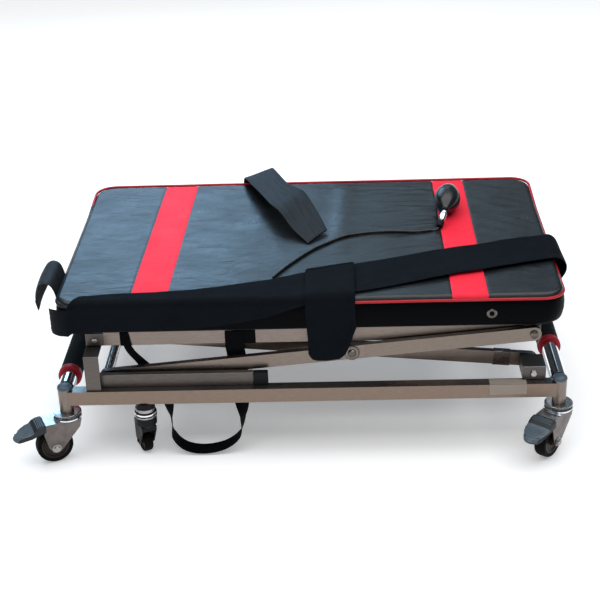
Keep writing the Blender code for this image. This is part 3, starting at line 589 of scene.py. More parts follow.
def upgrade(node, mat, bevel=0.0007, seg=2, sharp=34.0, name=None):
    """A finished copy of a CAD node: welded, edges rounded, with a real surface."""
    src = NODES[node]
    me = bpy.data.meshes.new((name or node) + "_finish")
    bm = bmesh.new()
    bm.from_mesh(src.data)
    bmesh.ops.remove_doubles(bm, verts=bm.verts[:], dist=2e-6)
    if bevel:
        bmesh.ops.dissolve_limit(bm, angle_limit=math.radians(0.5), verts=bm.verts[:], edges=bm.edges[:])
    bm.to_mesh(me)
    bm.free()
    a = me.attributes.get("custom_normal")
    if a is not None:
        me.attributes.remove(a)
    me.materials.clear()
    me.materials.append(mat)
    for p in me.polygons:
        p.use_smooth = True
        p.material_index = 0
    me.set_sharp_from_angle(angle=math.radians(sharp))
    o = bpy.data.objects.new((name or node) + "_finish", me)
    sc.collection.objects.link(o)
    if bevel:
        add_bevel(o, bevel, seg, 34.0)
    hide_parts(node)
    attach(o, BODY[node])
    return o


def merged(name, objs):
    """One object from several, modifiers applied, materials kept."""
    dg = bpy.context.evaluated_depsgraph_get()
    mats, bm = [], bmesh.new()
    for o in objs:
        ev = o.evaluated_get(dg)
        me = ev.to_mesh()
        idx = []
        for m in o.data.materials:
            if m not in mats:
                mats.append(m)
            idx.append(mats.index(m))
        off = len(bm.faces)
        me.transform(o.matrix_world)
        bm.from_mesh(me)
        bm.faces.ensure_lookup_table()
        for f in bm.faces[off:]:
            f.material_index = idx[min(f.material_index, len(idx) - 1)] if idx else 0
        ev.to_mesh_clear()
    me = bpy.data.meshes.new(name)
    bm.to_mesh(me)
    bm.free()
    for m in mats:
        me.materials.append(m)
    out = bpy.data.objects.new(name, me)
    sc.collection.objects.link(out)
    for o in objs:
        bpy.data.objects.remove(o)
    return out


def at(o, x, y, heading):
    """Turns a piece built round the origin to its heading and moves it to x, y."""
    o.data.transform(Matrix.Translation((x, y, 0)) @ Matrix.Rotation(math.radians(heading), 4, 'Z'))
    return o


def smooth(a, b, x):
    t = max(0.0, min(1.0, (x - a) / (b - a)))
    return t * t * (3 - 2 * t)


def nz(x, y, z=0.0):
    return noise.noise(Vector((x, y, z)))


# ---------------------------------------------------------------- floor
fl = obj("floor", [(-16, -10, -0.0006), (16, -10, -0.0006), (16, 22, -0.0006), (-16, 22, -0.0006)], [[0, 1, 2, 3]], [], smooth=False)
FM = Mat("pale_floor", (0.90, 0.90, 0.90), 0.9)
FM.b.inputs["Specular IOR Level"].default_value = 0.0
FM.b.inputs["Emission Color"].default_value = (1.0, 1.0, 1.0, 1)
FM.b.inputs["Emission Strength"].default_value = 0.30
FM.color(FM.mix(FM.rng(FM.noise(FM.coord("Object"), 0.9, 3.0), 0.3, 0.7, 0.0, 1.0), (0.89, 0.89, 0.90), (0.92, 0.92, 0.92)))
slotted(fl, FM.m)
fl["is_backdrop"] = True

# ---------------------------------------------------------------- frame members
for s in ("front", "rear"):
    upgrade("base_side_tube_" + s, SIDE, 0.0030, 4)
    upgrade("slide_rail_" + s, ALU_D, 0.0005)
    upgrade("slide_rail_stop_" + s, BLK, 0.0012)
    upgrade("deck_rest_bracket_" + s, ALU_D, 0.0005)
    upgrade("base_pivot_block_" + s, ALU_D, 0.0010)
    upgrade("outer_leg_" + s, ALU_L, 0.0016, 3)
    upgrade("inner_leg_" + s, ALU, 0.0016, 3)
    upgrade("deck_side_channel_" + s, ALU, 0.0008)
    upgrade("scissor_pivot_bolt_" + s, ZINC_B, 0.0)
    upgrade("deck_pivot_bolt_" + s, ZINC_B, 0.0)
for t in ("fl", "fr", "rl", "rr"):
    upgrade("corner_post_" + t, ALU_R, 0.0)
    upgrade("post_cap_" + t, CAPM, 0.0, sharp=60)
upgrade("lower_roller_axle", ZINC, 0.0)
upgrade("upper_roller_axle", ZINC, 0.0)
upgrade("deck_board", BLK, 0.0012)
for s in ("left", "right"):
    upgrade("base_end_tube_" + s, CHROME, 0.0, sharp=50)

# foam sleeves with a red moulded collar at each end
for side, sx, y0 in (("left", -1, 0.262), ("right", 1, 0.177)):
    x = sx * 0.4935
    ri, r = 0.0174, 0.0229
    body = [(ri, -y0 + 0.0150), (r - 0.0006, -y0 + 0.0150)]
    nst = 150
    for i in range(nst + 1):
        s = -y0 + 0.0156 + (2 * y0 - 0.0312) * i / nst
        body.append((r - 0.00012 + 0.00022 * nz(s * 60, sx * 3.0) + 0.0002 * nz(s * 300, 7.0), s))
    body += [(r - 0.0006, y0 - 0.0150), (ri, y0 - 0.0150)]
    g = turned("grip_sleeve_" + side, body, (x, 0, 0.150), (0, 1, 0), [FOAM], 56, 50, wob=lambda t, s: 0.004 * nz(math.cos(t) * 2, math.sin(t) * 2, s * 14))
    cs = []
    for e in (-1, 1):
        a, b = (-y0, -y0 + 0.0148) if e < 0 else (y0 - 0.0148, y0)
        cp = [(ri, a), (0.0226, a), (0.0237, a + 0.0012), (0.0240, a + 0.0032), (0.0240, b - 0.0032), (0.0237, b - 0.0012), (0.0226, b), (ri, b)]
        cs.append(turned("collar", cp, (x, 0, 0.150), (0, 1, 0), [CUFF], 56, 50))
    g = merged("foam_grip_%s_sleeve" % side, [g] + cs)
    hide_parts("foam_grip_" + side)
    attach(g, "base")

# ---------------------------------------------------------------- pad
X, Y, RC, E = 0.5, 0.3035, 0.042, 0.0085
Z0, Z1, ZP = 0.2702, 0.338, 0.3275
STR = ((-0.345, -0.272), (0.280, 0.350))


def crown(x, y):
    """Height of the pad's top above its nominal plane."""
    ex, ey = min(1.0, abs(x) / X), min(1.0, abs(y) / Y)
    h = 0.0030 * (1 - ex ** 4) * (1 - ey ** 4) - 0.0006
    h += 0.0012 * nz(x * 3.1, y * 3.7, 0.4) + 0.0007 * nz(x * 8, y * 9, 2.2)
    h += 0.0030 * math.exp(-((x - 0.066 - 0.05 * y) / 0.024) ** 2) * smooth(-0.2, 0.1, y)
    t = max(0.0, min(1.0, (0.285 - x) / 0.26))
    if x < 0.281:
        k = (1 - t) ** 1.25 * smooth(-0.16, -0.05, y) * (0.45 + 0.55 * smooth(0.0, 0.03, 0.284 - x))
        yy = y + 0.55 * (0.285 - x) * (0.30 - y)
        a = nz(x * 5.0, yy * 27.0 + 0.6 * nz(x * 9, y * 8, 5.0), 1.3)
        h += k * (0.0078 * (0.45 - abs(a)) + 0.0020 * nz(x * 13, yy * 62, 3.3))
    else:
        h += 0.0022 * (0.4 - abs(nz(x * 7, (y + 0.4 * x) * 20, 8.1)))
    if x < -0.1:
        k = smooth(-0.02, -0.26, x)
        h += 0.0020 * k * (0.4 - abs(nz(x * 7, y * 9 + 5 * x, 6.6)))
    return h * smooth(0.0, 0.05, X - abs(x)) * smooth(0.0, 0.05, Y - abs(y)) + 0.0


def knots(stops, steps):
    out = [stops[0]]
    for a, b, n in zip(stops, stops[1:], steps):
        out += [a + (b - a) * (i + 1) / n for i in range(n)]
    return out


edge = [E * (1 - math.cos(math.radians(a))) for a in (0, 15, 30, 45, 60, 75, 90)]
q = 1
ul = [-X + e for e in edge[:-1]]
ul += knots([-X + E, -0.3465, -0.3450, -0.3435, -0.2735, -0.2720, -0.2705, 0.0, 0.2785, 0.2800, 0.2815, 0.3485, 0.3500, 0.3515, X - E],
            [34 // q, 1, 1, 22 // q, 1, 1, 76 // q, 92 // q, 1, 1, 24 // q, 1, 1, 38 // q])
ul += [X - e for e in edge[:-1]][::-1]
vl = [-Y + e for e in edge[:-1]] + knots([-Y + E, Y - E], [150 // q]) + [Y - e for e in edge[:-1]][::-1]


def plan(u, v):
    ax, ay = abs(u), abs(v)
    cx, cy = X - RC, Y - RC
    if ax > cx and ay > cy:
        qx, qy = (ax - cx) / RC, (ay - cy) / RC
        nx, ny = qx * math.sqrt(1 - qy * qy / 2), qy * math.sqrt(1 - qx * qx / 2)
        d = RC * (1 - math.hypot(nx, ny))
        ax, ay = cx + nx * RC, cy + ny * RC
    else:
        d = min(X - ax, Y - ay)
    x, y = math.copysign(ax, u), math.copysign(ay, v)
    sh = smooth(-0.47, -0.36, u) * (1 - smooth(-0.25, 0.15, u))
    return x + 0.0225 * y * sh, y, max(0.0, d)


vs, fs, mi = [], [], []
nu, nv = len(ul), len(vl)
for i, u in enumerate(ul):
    for v in vl:
        x, y, d = plan(u, v)
        z = Z1 if d >= E else Z1 - E + math.sqrt(max(0.0, E * E - (E - d) ** 2))
        z += crown(x, y)
        for a, b in STR:
            for s in (a, b):
                z -= 0.0011 * math.exp(-((u - s) / 0.0011) ** 2) * (1 if d > 0.004 else d / 0.004)
        vs.append(Vector((x, y, z)))
for i in range(nu - 1):
    for j in range(nv - 1):
        fs.append([i * nv + j, (i + 1) * nv + j, (i + 1) * nv + j + 1, i * nv + j + 1])
        um = (ul[i] + ul[i + 1]) / 2
        mi.append(1 if any(a < um < b for a, b in STR) else 0)
rim = [i * nv for i in range(nu)] + [(nu - 1) * nv + j for j in range(1, nv)] + [i * nv + nv - 1 for i in range(nu - 2, -1, -1)] + [j for j in range(nv - 2, 0, -1)]
rim_u = [ul[k // nv] for k in rim]
nr_ = len(rim)
levels = [(ZP + 0.0010, 0.0002, 0), (ZP, -0.0014, 2), (ZP - 0.0022, 0.0002, 2), (ZP - 0.009, 0.0020, 2), (ZP - 0.020, 0.0034, 2),
          (Z0 + E + 0.014, 0.0030, 2), (Z0 + E + 0.004, 0.0014, 2), (Z0 + E, 0.0004, 2)]
for a in (18, 36, 54, 72, 90):
    levels.append((Z0 + E - E * math.sin(math.radians(a)), -E * (1 - math.cos(math.radians(a))), 2))
prev = rim
for z, off, m in levels:
    cur = []
    for k, r in enumerate(rim):
        p = vs[r]
        cx, cy = max(-X + RC, min(X - RC, p.x)), max(-Y + RC, min(Y - RC, p.y))
        n = Vector((p.x - cx, p.y - cy, 0))
        if n.length < 1e-6:
            n = Vector((0, math.copysign(1, p.y), 0))
        n.normalize()
        w = 0.0008 * nz(p.x * 11 + p.y * 9, z * 26, 4.0) if 0.284 < z < 0.319 else 0.0
        cur.append(len(vs))
        vs.append(Vector((p.x + n.x * (off + w), p.y + n.y * (off + w), z)))
    for k in range(nr_):
        k2 = (k + 1) % nr_
        fs.append([prev[k], cur[k], cur[k2], prev[k2]])
        um = (rim_u[k] + rim_u[k2]) / 2
        mi.append(1 if m == 0 and any(a < um < b for a, b in STR) else m)
    prev = cur
fs.append(prev[::-1])
mi.append(2)
# material 2 on the sides and bottom is the darker painted-shade copy of the top vinyl
pad = obj("pad_cover", vs, fs, [VINYL, VINYL_RED, VINYL_SIDE_SHADED], sharp=0)
for p, m in zip(pad.data.polygons, mi):
    p.material_index = m
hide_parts("mattress")
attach(pad, "deck")


def rim_path(off, z, n=9):
    pts = []
    for cx, cy, a0 in ((1, 1, 0), (-1, 1, 90), (-1, -1, 180), (1, -1, 270)):
        for k in range(n + 1):
            a = math.radians(a0 + 90 * k / n)
            pts.append(Vector((cx * (X - RC) + (RC + off) * math.cos(a), cy * (Y - RC) + (RC + off) * math.sin(a), z)))
    out = []
    for i, p in enumerate(pts):
        q2 = pts[(i + 1) % len(pts)]
        m = max(1, int((q2 - p).length / 0.01))
        out += [p.lerp(q2, k / m) for k in range(m)]
    return out


def ring_tube(name, path, r, mat, n=12):
    vs, fs = [], []
    L = len(path)
    for i, p in enumerate(path):
        T = (path[(i + 1) % L] - path[i - 1]).normalized()
        a = Vector((0, 0, 1))
        b = T.cross(a).normalized()
        for k in range(n):
            t = 2 * math.pi * k / n
            rr = r * (1 + 0.05 * nz(i * 0.7, k * 0.4))
            vs.append(p + (a * math.cos(t) + b * math.sin(t)) * rr)
    for i in range(L):
        for k in range(n):
            k2, i2 = (k + 1) % n, (i + 1) % L
            fs.append([i * n + k, i * n + k2, i2 * n + k2, i2 * n + k])
    return obj(name, vs, fs, mat, sharp=0)


pip = ring_tube("pad_piping", [p + Vector((0, 0, 0.0006 * nz(p.x * 7, p.y * 7, 1.0) + 0.0105 * smooth(0.12, 0.295, p.y))) for p in rim_path(0.0008, ZP)], 0.0029, PIPING)
pip.data.materials.append(PIPING_K)
for f in pip.data.polygons:
    f.material_index = 1 if f.center.x < -0.345 and f.center.y < 0.20 else 0
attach(pip, "deck")
# eyelet in the front boxing
ey = turned("pad_eyelet", [(0.0048, -0.0005), (0.0050, 0.0014), (0.0066, 0.0023), (0.0090, 0.0021), (0.0104, 0.0010), (0.0106, -0.0005)],
            (0.357, -Y - 0.0018, 0.298), (0, -1, 0), [ZINC_B], 40)
hole = turned("pad_eyelet_hole", [(0, -0.0002), (0, 0.0003), (0.0052, 0.0003), (0.0052, -0.0002)], (0.357, -Y - 0.0018, 0.298), (0, -1, 0), [BLK], 24)
ey = merged("pad_eyelet_ring", [ey, hole])
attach(ey, "deck")

# ---------------------------------------------------------------- straps
T_B = 0.0022


def over_front(y_start, s, lift):
    r = E + lift
    yc, zc = -Y + E, Z1 - E
    flat = y_start - yc
    if s < flat:
        return y_start - s, Z1 + lift, 0.0, 1.0
    arc = r * math.pi / 2
    if s < flat + arc:
        a = (s - flat) / r
        return yc - r * math.sin(a), zc + r * math.cos(a), -math.sin(a), math.cos(a)
    return -Y - lift, zc - (s - flat - arc), -1.0, 0.0


EDGE = [(-0.452, -0.279), (-0.400, -0.272), (-0.300, -0.268), (-0.228, -0.262), (-0.174, -0.249), (-0.080, -0.222), (-0.024, -0.198),
        (0.042, -0.173), (0.126, -0.147), (0.281, -0.096), (0.351, -0.075), (0.440, -0.046), (0.488, -0.033)]
WB = [0.090, 0.092, 0.095, 0.100, 0.108, 0.118, 0.122, 0.126, 0.128, 0.128, 0.128, 0.126, 0.124]


def edge_at(x):
    for i in range(len(EDGE) - 1):
        x0, x1 = EDGE[i][0], EDGE[i + 1][0]
        if x <= x1 + 1e-9:
            f = max(0.0, (x - x0) / (x1 - x0))
            return EDGE[i][1] * (1 - f) + EDGE[i + 1][1] * f, WB[i] * (1 - f) + WB[i + 1] * f
    return EDGE[-1][1], WB[-1]


NC = 26
rows = []
nx_ = 118
for i in range(nx_ + 1):
    x = -0.452 + 0.940 * i / nx_
    ye, wd = edge_at(x)
    row = []
    for j in range(NC + 1):
        f = j / NC
        d = wd * f
        y, z, ny, nzv = over_front(ye, d, 0.0016)
        up = crown(x, y) * nzv
        lift = 0.0046 * smooth(0.08, 0.30, x) * smooth(0.55, 1.0, f) + 0.0016 * smooth(0.10, 0.0, f) * smooth(0.15, 0.35, x)
        lift += 0.0011 * (nz(x * 9, f * 2.2, 3.0) + 0.5) + 0.0005 * (nz(x * 30, f * 5, 9.0) + 0.5)
        if y < -Y + 0.004:
            lift += 0.0034 * math.exp(-((z - ZP) / 0.011) ** 2) + 0.0020 * smooth(0.0, 0.03, Z1 - E - z) * (0.9 + nz(x * 14, 2.0))
        back = 0.0
        row.append(Vector((x + back, y + ny * lift, z + max(0.0, up) + nzv * lift)))
    rows.append(row)
ext = []
for x, y, zt, zb in ((-0.5185, -0.2610, 0.3080, 0.2545), (-0.5155, -0.2700, 0.3100, 0.2560), (-0.5105, -0.2790, 0.3140, 0.2580), (-0.5040, -0.2880, 0.3170, 0.2600),
                     (-0.4955, -0.2960, 0.3200, 0.2620), (-0.4860, -0.3020, 0.3225, 0.2640), (-0.4770, -0.3062, 0.3245, 0.2655)):
    ext.append([Vector((x - 0.0008 * nz(j * 0.3, x * 60), y, zt + (zb - zt) * j / NC + 0.0006 * nz(j * 0.2, x * 90, 4))) for j in range(NC + 1)])
for x, s0 in ((-0.4690, 0.0260), (-0.4625, 0.0150), (-0.4570, 0.0060)):
    rw = []
    for j in range(NC + 1):
        d = s0 + (WB[0] - s0) * j / NC
        y, z, ny, nzv = over_front(EDGE[0][1], d, 0.0016)
        li = 0.0034 * math.exp(-((z - ZP) / 0.011) ** 2) + 0.0012 if y < -Y + 0.004 else 0.0010
        rw.append(Vector((x, y + ny * li, z + nzv * li)))
    ext.append(rw)
rows = ext + rows
endp = [Vector((a, 0, b)) for a, b in ((0.488, 0.3402), (0.503, 0.3428), (0.5150, 0.3400), (0.5225, 0.3290), (0.5205, 0.3140), (0.5135, 0.3000), (0.5085, 0.2870))]
endp = catmull(endp, 5)
base_row = rows[-1]
z_ref = endp[0].z
for k, p in enumerate(endp[1:], 1):
    f = k / (len(endp) - 1)
    row = []
    for j in range(NC + 1):
        g = j / NC
        yy = base_row[j].y - 0.006 * f
        dz = (base_row[j].z - z_ref) * (1 - smooth(0, 0.35, f))
        bulge = -0.004 * smooth(0, 0.3, f) * (1 - g)
        row.append(Vector((p.x + bulge + 0.0010 * nz(g * 3, f * 4, 12.0), yy, p.z + dz)))
    rows.append(row)
ls = strap("long_restraint_strap", rows, T_B, WEB_B)
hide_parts("long_strap")
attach(ls, "deck")

ENDZ = [(-0.007, 0.2210), (0.000, 0.2095), (0.010, 0.2068), (0.030, 0.2062), (0.055, 0.2090), (0.066, 0.2185), (0.076, 0.2400), (0.084, 0.2640), (0.091, 0.2780)]


def lerp_tab(tab, x):
    for (a, fa), (b, fb) in zip(tab, tab[1:]):
        if x <= b:
            return fa + (fb - fa) * max(0.0, (x - a) / (b - a))
    return tab[-1][1]


rows = []
NR, NJ = 60, 24
cols = []
for j in range(NJ + 1):
    x = -0.007 + 0.098 * j / NJ
    y0 = -0.196 + 0.030 * j / NJ
    lift = 0.0088
    total = (y0 + Y - E) + (E + lift) * math.pi / 2 + (Z1 - E - lerp_tab(ENDZ, x))
    col = []
    for i in range(NR + 1):
        s = total * i / NR
        y, z, ny, nzv = over_front(y0, s, lift)
        w = 0.0012 * (nz(x * 22, s * 12, 5.0) + 0.3) * smooth(0.03, 0.09, s)
        k = smooth(0.318, 0.24, z) if y < -Y else 0
        col.append(Vector((x + 0.004 * k, y + ny * w - 0.0016 * k, z + max(0, crown(x, y)) * nzv + nzv * w)))
    cols.append(col)
rows = [[cols[j][i] for j in range(NJ + 1)] for i in range(NR + 1)]
cf = strap("cross_strap_front_half", rows, T_B, WEB_B, hem=(0.004, 0.022))
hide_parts("cross_strap_front")
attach(cf, "deck")

ctrl = [[(-0.1620, 0.3078, 0.285), (-0.0880, 0.3082, 0.285)],
        [(-0.1610, 0.3084, 0.316), (-0.0875, 0.3098, 0.318)],
        [(-0.1590, 0.3080, 0.344), (-0.0875, 0.3130, 0.350)],
        [(-0.1560, 0.2960, 0.3570), (-0.0890, 0.3180, 0.3660)],
        [(-0.1487, 0.2701, 0.3620), (-0.0890, 0.3120, 0.3740)],
        [(-0.1264, 0.1992, 0.3700), (-0.0712, 0.2558, 0.3780)],
        [(-0.1080, 0.1463, 0.3740), (-0.0511, 0.1973, 0.3805)],
        [(-0.0870, 0.0850, 0.3775), (-0.0290, 0.1660, 0.3815)],
        [(-0.0644, 0.0412, 0.3765), (-0.0118, 0.1396, 0.3800)],
        [(-0.0379, -0.0060, 0.3580), (0.0129, 0.0760, 0.3660)],
        [(-0.0038, -0.0520, 0.3425), (0.0367, 0.0060, 0.3480)]]
full = []
for r in ctrl:
    a, b = Vector(r[0]), Vector(r[1])
    k = len(full)
    mid = [a.lerp(b, f) + Vector((0, 0, (0.0015 if k > 3 else 0) * math.sin(math.pi * f))) for f in (0, 0.25, 0.5, 0.75, 1)]
    full.append(mid)
rows = refine(full, 8, 6)
for i, row in enumerate(rows):
    for j, p in enumerate(row):
        f = i / len(rows)
        p.z += 0.0010 * nz(j * 0.55, i * 0.10, 2.0) * smooth(0.3, 0.5, f)
cr = strap("cross_strap_rear_half", rows, T_B, WEB_G, hem=(0.0, 0.020), flip=True)
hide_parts("cross_strap_rear")
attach(cr, "deck")

prof = [(-0.5025, 0.272), (-0.5028, 0.300), (-0.5045, 0.328), (-0.5125, 0.350), (-0.5265, 0.3560), (-0.5400, 0.3470), (-0.5465, 0.3240), (-0.5430, 0.2990)]
rows = []
for x, z in [(p.x, p.z) for p in catmull([Vector((a, 0, b)) for a, b in prof], 7)]:
    rows.append([(x, z)])
rr = []
for i, [(x, z)] in enumerate(rows):
    f = i / (len(rows) - 1)
    row = []
    for j in range(23):
        g = j / 22
        bow = 0.0026 * math.sin(math.pi * g) * smooth(0.45, 0.8, f)
        row.append(Vector((x - bow + 0.0010 * nz(g * 4, f * 5, 3.0), -0.200 + 0.007 * f - 0.055 + 0.110 * g, z + 0.006 * (g - 0.5) * smooth(0.4, 1.0, f))))
    rr.append(row)
es = strap("end_strap_left_curl", rr, T_B, WEB_G, hem=(0.0, 0.020), flip=True)
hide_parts("end_strap_left")
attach(es, "deck")

# webbing loop below the front deck channel
LX0, LX1 = -0.300, -0.150
loop = [(LX1, -0.2861, 0.2600), (LX1, -0.2861, 0.2250), (LX1 + 0.001, -0.2775, 0.2050), (LX1 + 0.004, -0.2750, 0.1600), (LX1 + 0.007, -0.2800, 0.1100),
        (LX1 + 0.009, -0.2950, 0.0700), (LX1 + 0.002, -0.3080, 0.0360), (-0.178, -0.3130, 0.0130), (-0.222, -0.3140, 0.0040), (-0.260, -0.3130, 0.0120),
        (LX0 + 0.017, -0.3080, 0.0360), (LX0 + 0.012, -0.2950, 0.0700), (LX0 + 0.004, -0.2800, 0.1100), (-0.3150, -0.2755, 0.1500),
        (-0.3420, -0.2765, 0.1900), (-0.3620, -0.2861, 0.2250), (-0.3690, -0.2861, 0.2600)]
LW = [0.038] * 13 + [0.030, 0.019, 0.016, 0.016]
TW = [0, 0, 0, 0, 35, 75, 90, 90, 90, 90, 90, 105, 145, 180, 180, 180, 180]
pts = catmull(loop, 9)
rows = []
for i, p in enumerate(pts):
    k, f = divmod(i / 9.0, 1.0)
    k = int(k)
    a = math.radians(TW[k] if k + 1 >= len(TW) else TW[k] * (1 - f) + TW[k + 1] * f)
    T = (pts[min(i + 1, len(pts) - 1)] - pts[max(i - 1, 0)]).normalized()
    Wd = Vector((math.cos(a), math.sin(a), 0))
    Wd = (Wd - T * Wd.dot(T)).normalized()
    wdt = LW[k] + (LW[min(16, k + 1)] - LW[k]) * f
    rows.append([p + Wd * wdt * (j / 8 - 0.5) for j in range(9)])
lp = strap("hanging_loop_webbing", rows, 0.0014, WEB)
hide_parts("hanging_webbing_loop")
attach(lp, "deck")
for k, (xa, xb) in enumerate(((-0.156, -0.108), (-0.379, -0.361))):
    path = [(-0.2851, 0.2618), (-0.2851, 0.2340), (-0.2838, 0.2314), (-0.2650, 0.2311)]
    rw = [[Vector((xa + (xb - xa) * j / 6, y, z)) for j in range(7)] for y, z in path]
    wr = strap("channel_webbing_wrap_%d" % (k + 1), rw, 0.0014, WEB)
    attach(wr, "deck")

# ---------------------------------------------------------------- bulb, valve, hose
BD = Vector((0.14, 1.0, 0.0)).normalized()
b0 = Vector((0.2925, 0.052, Z1 + 0.0300))
bp = [(0, 0.0), (0.0062, 0.0), (0.0072, 0.0015), (0.0078, 0.0055), (0.0098, 0.0085), (0.0138, 0.0135), (0.0186, 0.0220), (0.0230, 0.0320), (0.0262, 0.0430), (0.0280, 0.0530),
      (0.0285, 0.0610), (0.0280, 0.0710), (0.0264, 0.0810), (0.0238, 0.0920), (0.0205, 0.1030), (0.0168, 0.1135), (0.0130, 0.1230), (0.0094, 0.1310),
      (0.0062, 0.1375), (0.0038, 0.1420), (0.0018, 0.1444), (0, 0.1450)]
bulb = turned("squeeze_bulb", bp, b0, BD, [BULBM], 64, 60)
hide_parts("hand_bulb")
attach(bulb, "deck")
V0 = Vector((0.276, 0.010, Z1 + 0.0078))
vd = (b0 - V0).normalized()
L = (b0 - V0).length - 0.0052
knob = turned("knob", [(0, 0.0), (0.0045, 0.0), (0.0066, 0.0012), (0.0074, 0.0032), (0.0074, 0.0150), (0.0066, 0.0166), (0.0052, 0.0172), (0, 0.0172)],
              V0 + vd * 0.0004, vd, [BLK], 32, 30, wob=lambda t, s: 0.035 * (1 if math.cos(t * 16) > 0 else 0) if 0.003 < s < 0.0152 else 0.0)
ferr = turned("ferrule", [(0, 0.0170), (0.0052, 0.0172), (0.0055, 0.0180), (0.0072, 0.0188), (0.0078, 0.0205), (0.0078, L - 0.0085), (0.0070, L - 0.0070), (0.0058, L - 0.0060),
                          (0.0058, L - 0.0030), (0.0050, L - 0.0005), (0, L - 0.0005)], V0 + vd * 0.0004, vd, [CHROME], 40)
valve = merged("bulb_valve", [knob, ferr])
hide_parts("air_valve")
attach(valve, "deck")
HZ = Z1 + 0.0032
hose = [(0.2747, 0.0068, HZ + 0.0036), (0.262, -0.001, HZ + 0.0012), (0.230, -0.004, HZ), (0.192, -0.003, HZ), (0.139, -0.003, HZ), (0.096, -0.012, HZ), (0.074, -0.024, HZ),
        (0.043, -0.048, HZ), (0.017, -0.072, HZ), (-0.009, -0.106, HZ), (-0.039, -0.153, HZ), (-0.059, -0.188, HZ), (-0.0716, -0.2120, HZ)]
hp = catmull(hose, 6)
for i, p in enumerate(hp):
    if 6 < i < len(hp) - 1:
        p.z = max(p.z, Z1 + crown(p.x, p.y) + 0.0030)
hp = [hp[0]] + [(hp[i - 1] + hp[i] * 2 + hp[i + 1]) / 4 for i in range(1, len(hp) - 1)] + [hp[-1]]
cu = bpy.data.curves.new("air_tube", 'CURVE')
cu.dimensions = '3D'
cu.bevel_depth = 0.0027
cu.bevel_resolution = 5
cu.use_fill_caps = True
sp = cu.splines.new('POLY')
sp.points.add(len(hp) - 1)
for a, b in zip(sp.points, hp):
    a.co = (b.x, b.y, b.z, 1.0)
sp.use_smooth = True
ho = bpy.data.objects.new("air_tube", cu)
cu.materials.append(BULBM)
sc.collection.objects.link(ho)
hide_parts("air_hose")
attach(ho, "deck")

# ---------------------------------------------------------------- casters
TR, WR = 0.034, 0.0375


def wheel(name, node, trail, r, w, hub_w, x, y, heading, body, big=True):
    h = w / 2
    tread = [(r * 0.76, -h + 0.0008), (r * 0.90, -h), (r * 0.955, -h + 0.0006), (r * 0.985, -h + 0.0030), (r - 0.0001, -h + 0.0065),
             (r, -0.0022), (r - 0.0007, -0.0016), (r - 0.0007, 0.0016), (r, 0.0022), (r - 0.0001, h - 0.0065), (r * 0.985, h - 0.0030), (r * 0.955, h - 0.0006),
             (r * 0.90, h), (r * 0.76, h - 0.0008)]
    if not big:
        tread = [(r * 0.76, -h + 0.0008), (r * 0.90, -h), (r * 0.97, -h + 0.0018), (r, -h + 0.0045), (r, h - 0.0045), (r * 0.97, h - 0.0018), (r * 0.90, h), (r * 0.76, h - 0.0008)]
    a = turned("tread", tread, (trail, 0, r), (0, 1, 0), [TREAD], 72, 40)
    d = h - 0.004
    hub = [(0.0045, -hub_w), (0.0105, -hub_w), (0.0115, -hub_w + 0.0012), (0.0120, -d), (r * 0.42, -d + 0.0006), (r * 0.60, -d - 0.0004), (r * 0.66, -d - 0.0022), (r * 0.72, -d - 0.0026), (r * 0.762, -h + 0.0009),
           (r * 0.762, h - 0.0009), (r * 0.72, d + 0.0026), (r * 0.66, d + 0.0022), (r * 0.60, d + 0.0004), (r * 0.42, d - 0.0006), (0.0120, d), (0.0115, hub_w - 0.0012), (0.0105, hub_w), (0.0045, hub_w)]
    if not big:
        hub = [(0.0035, -hub_w), (0.0078, -hub_w), (0.0085, -d), (r * 0.70, -d - 0.0006), (r * 0.765, -h + 0.0009), (r * 0.765, h - 0.0009), (r * 0.70, d + 0.0006), (0.0085, d), (0.0078, hub_w), (0.0035, hub_w)]
    b = turned("hub", hub, (trail, 0, r), (0, 1, 0), [HUBM], 60, 30)
    o = at(merged(name, [a, b]), x, y, heading)
    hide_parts(node)
    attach(o, body)
    return o


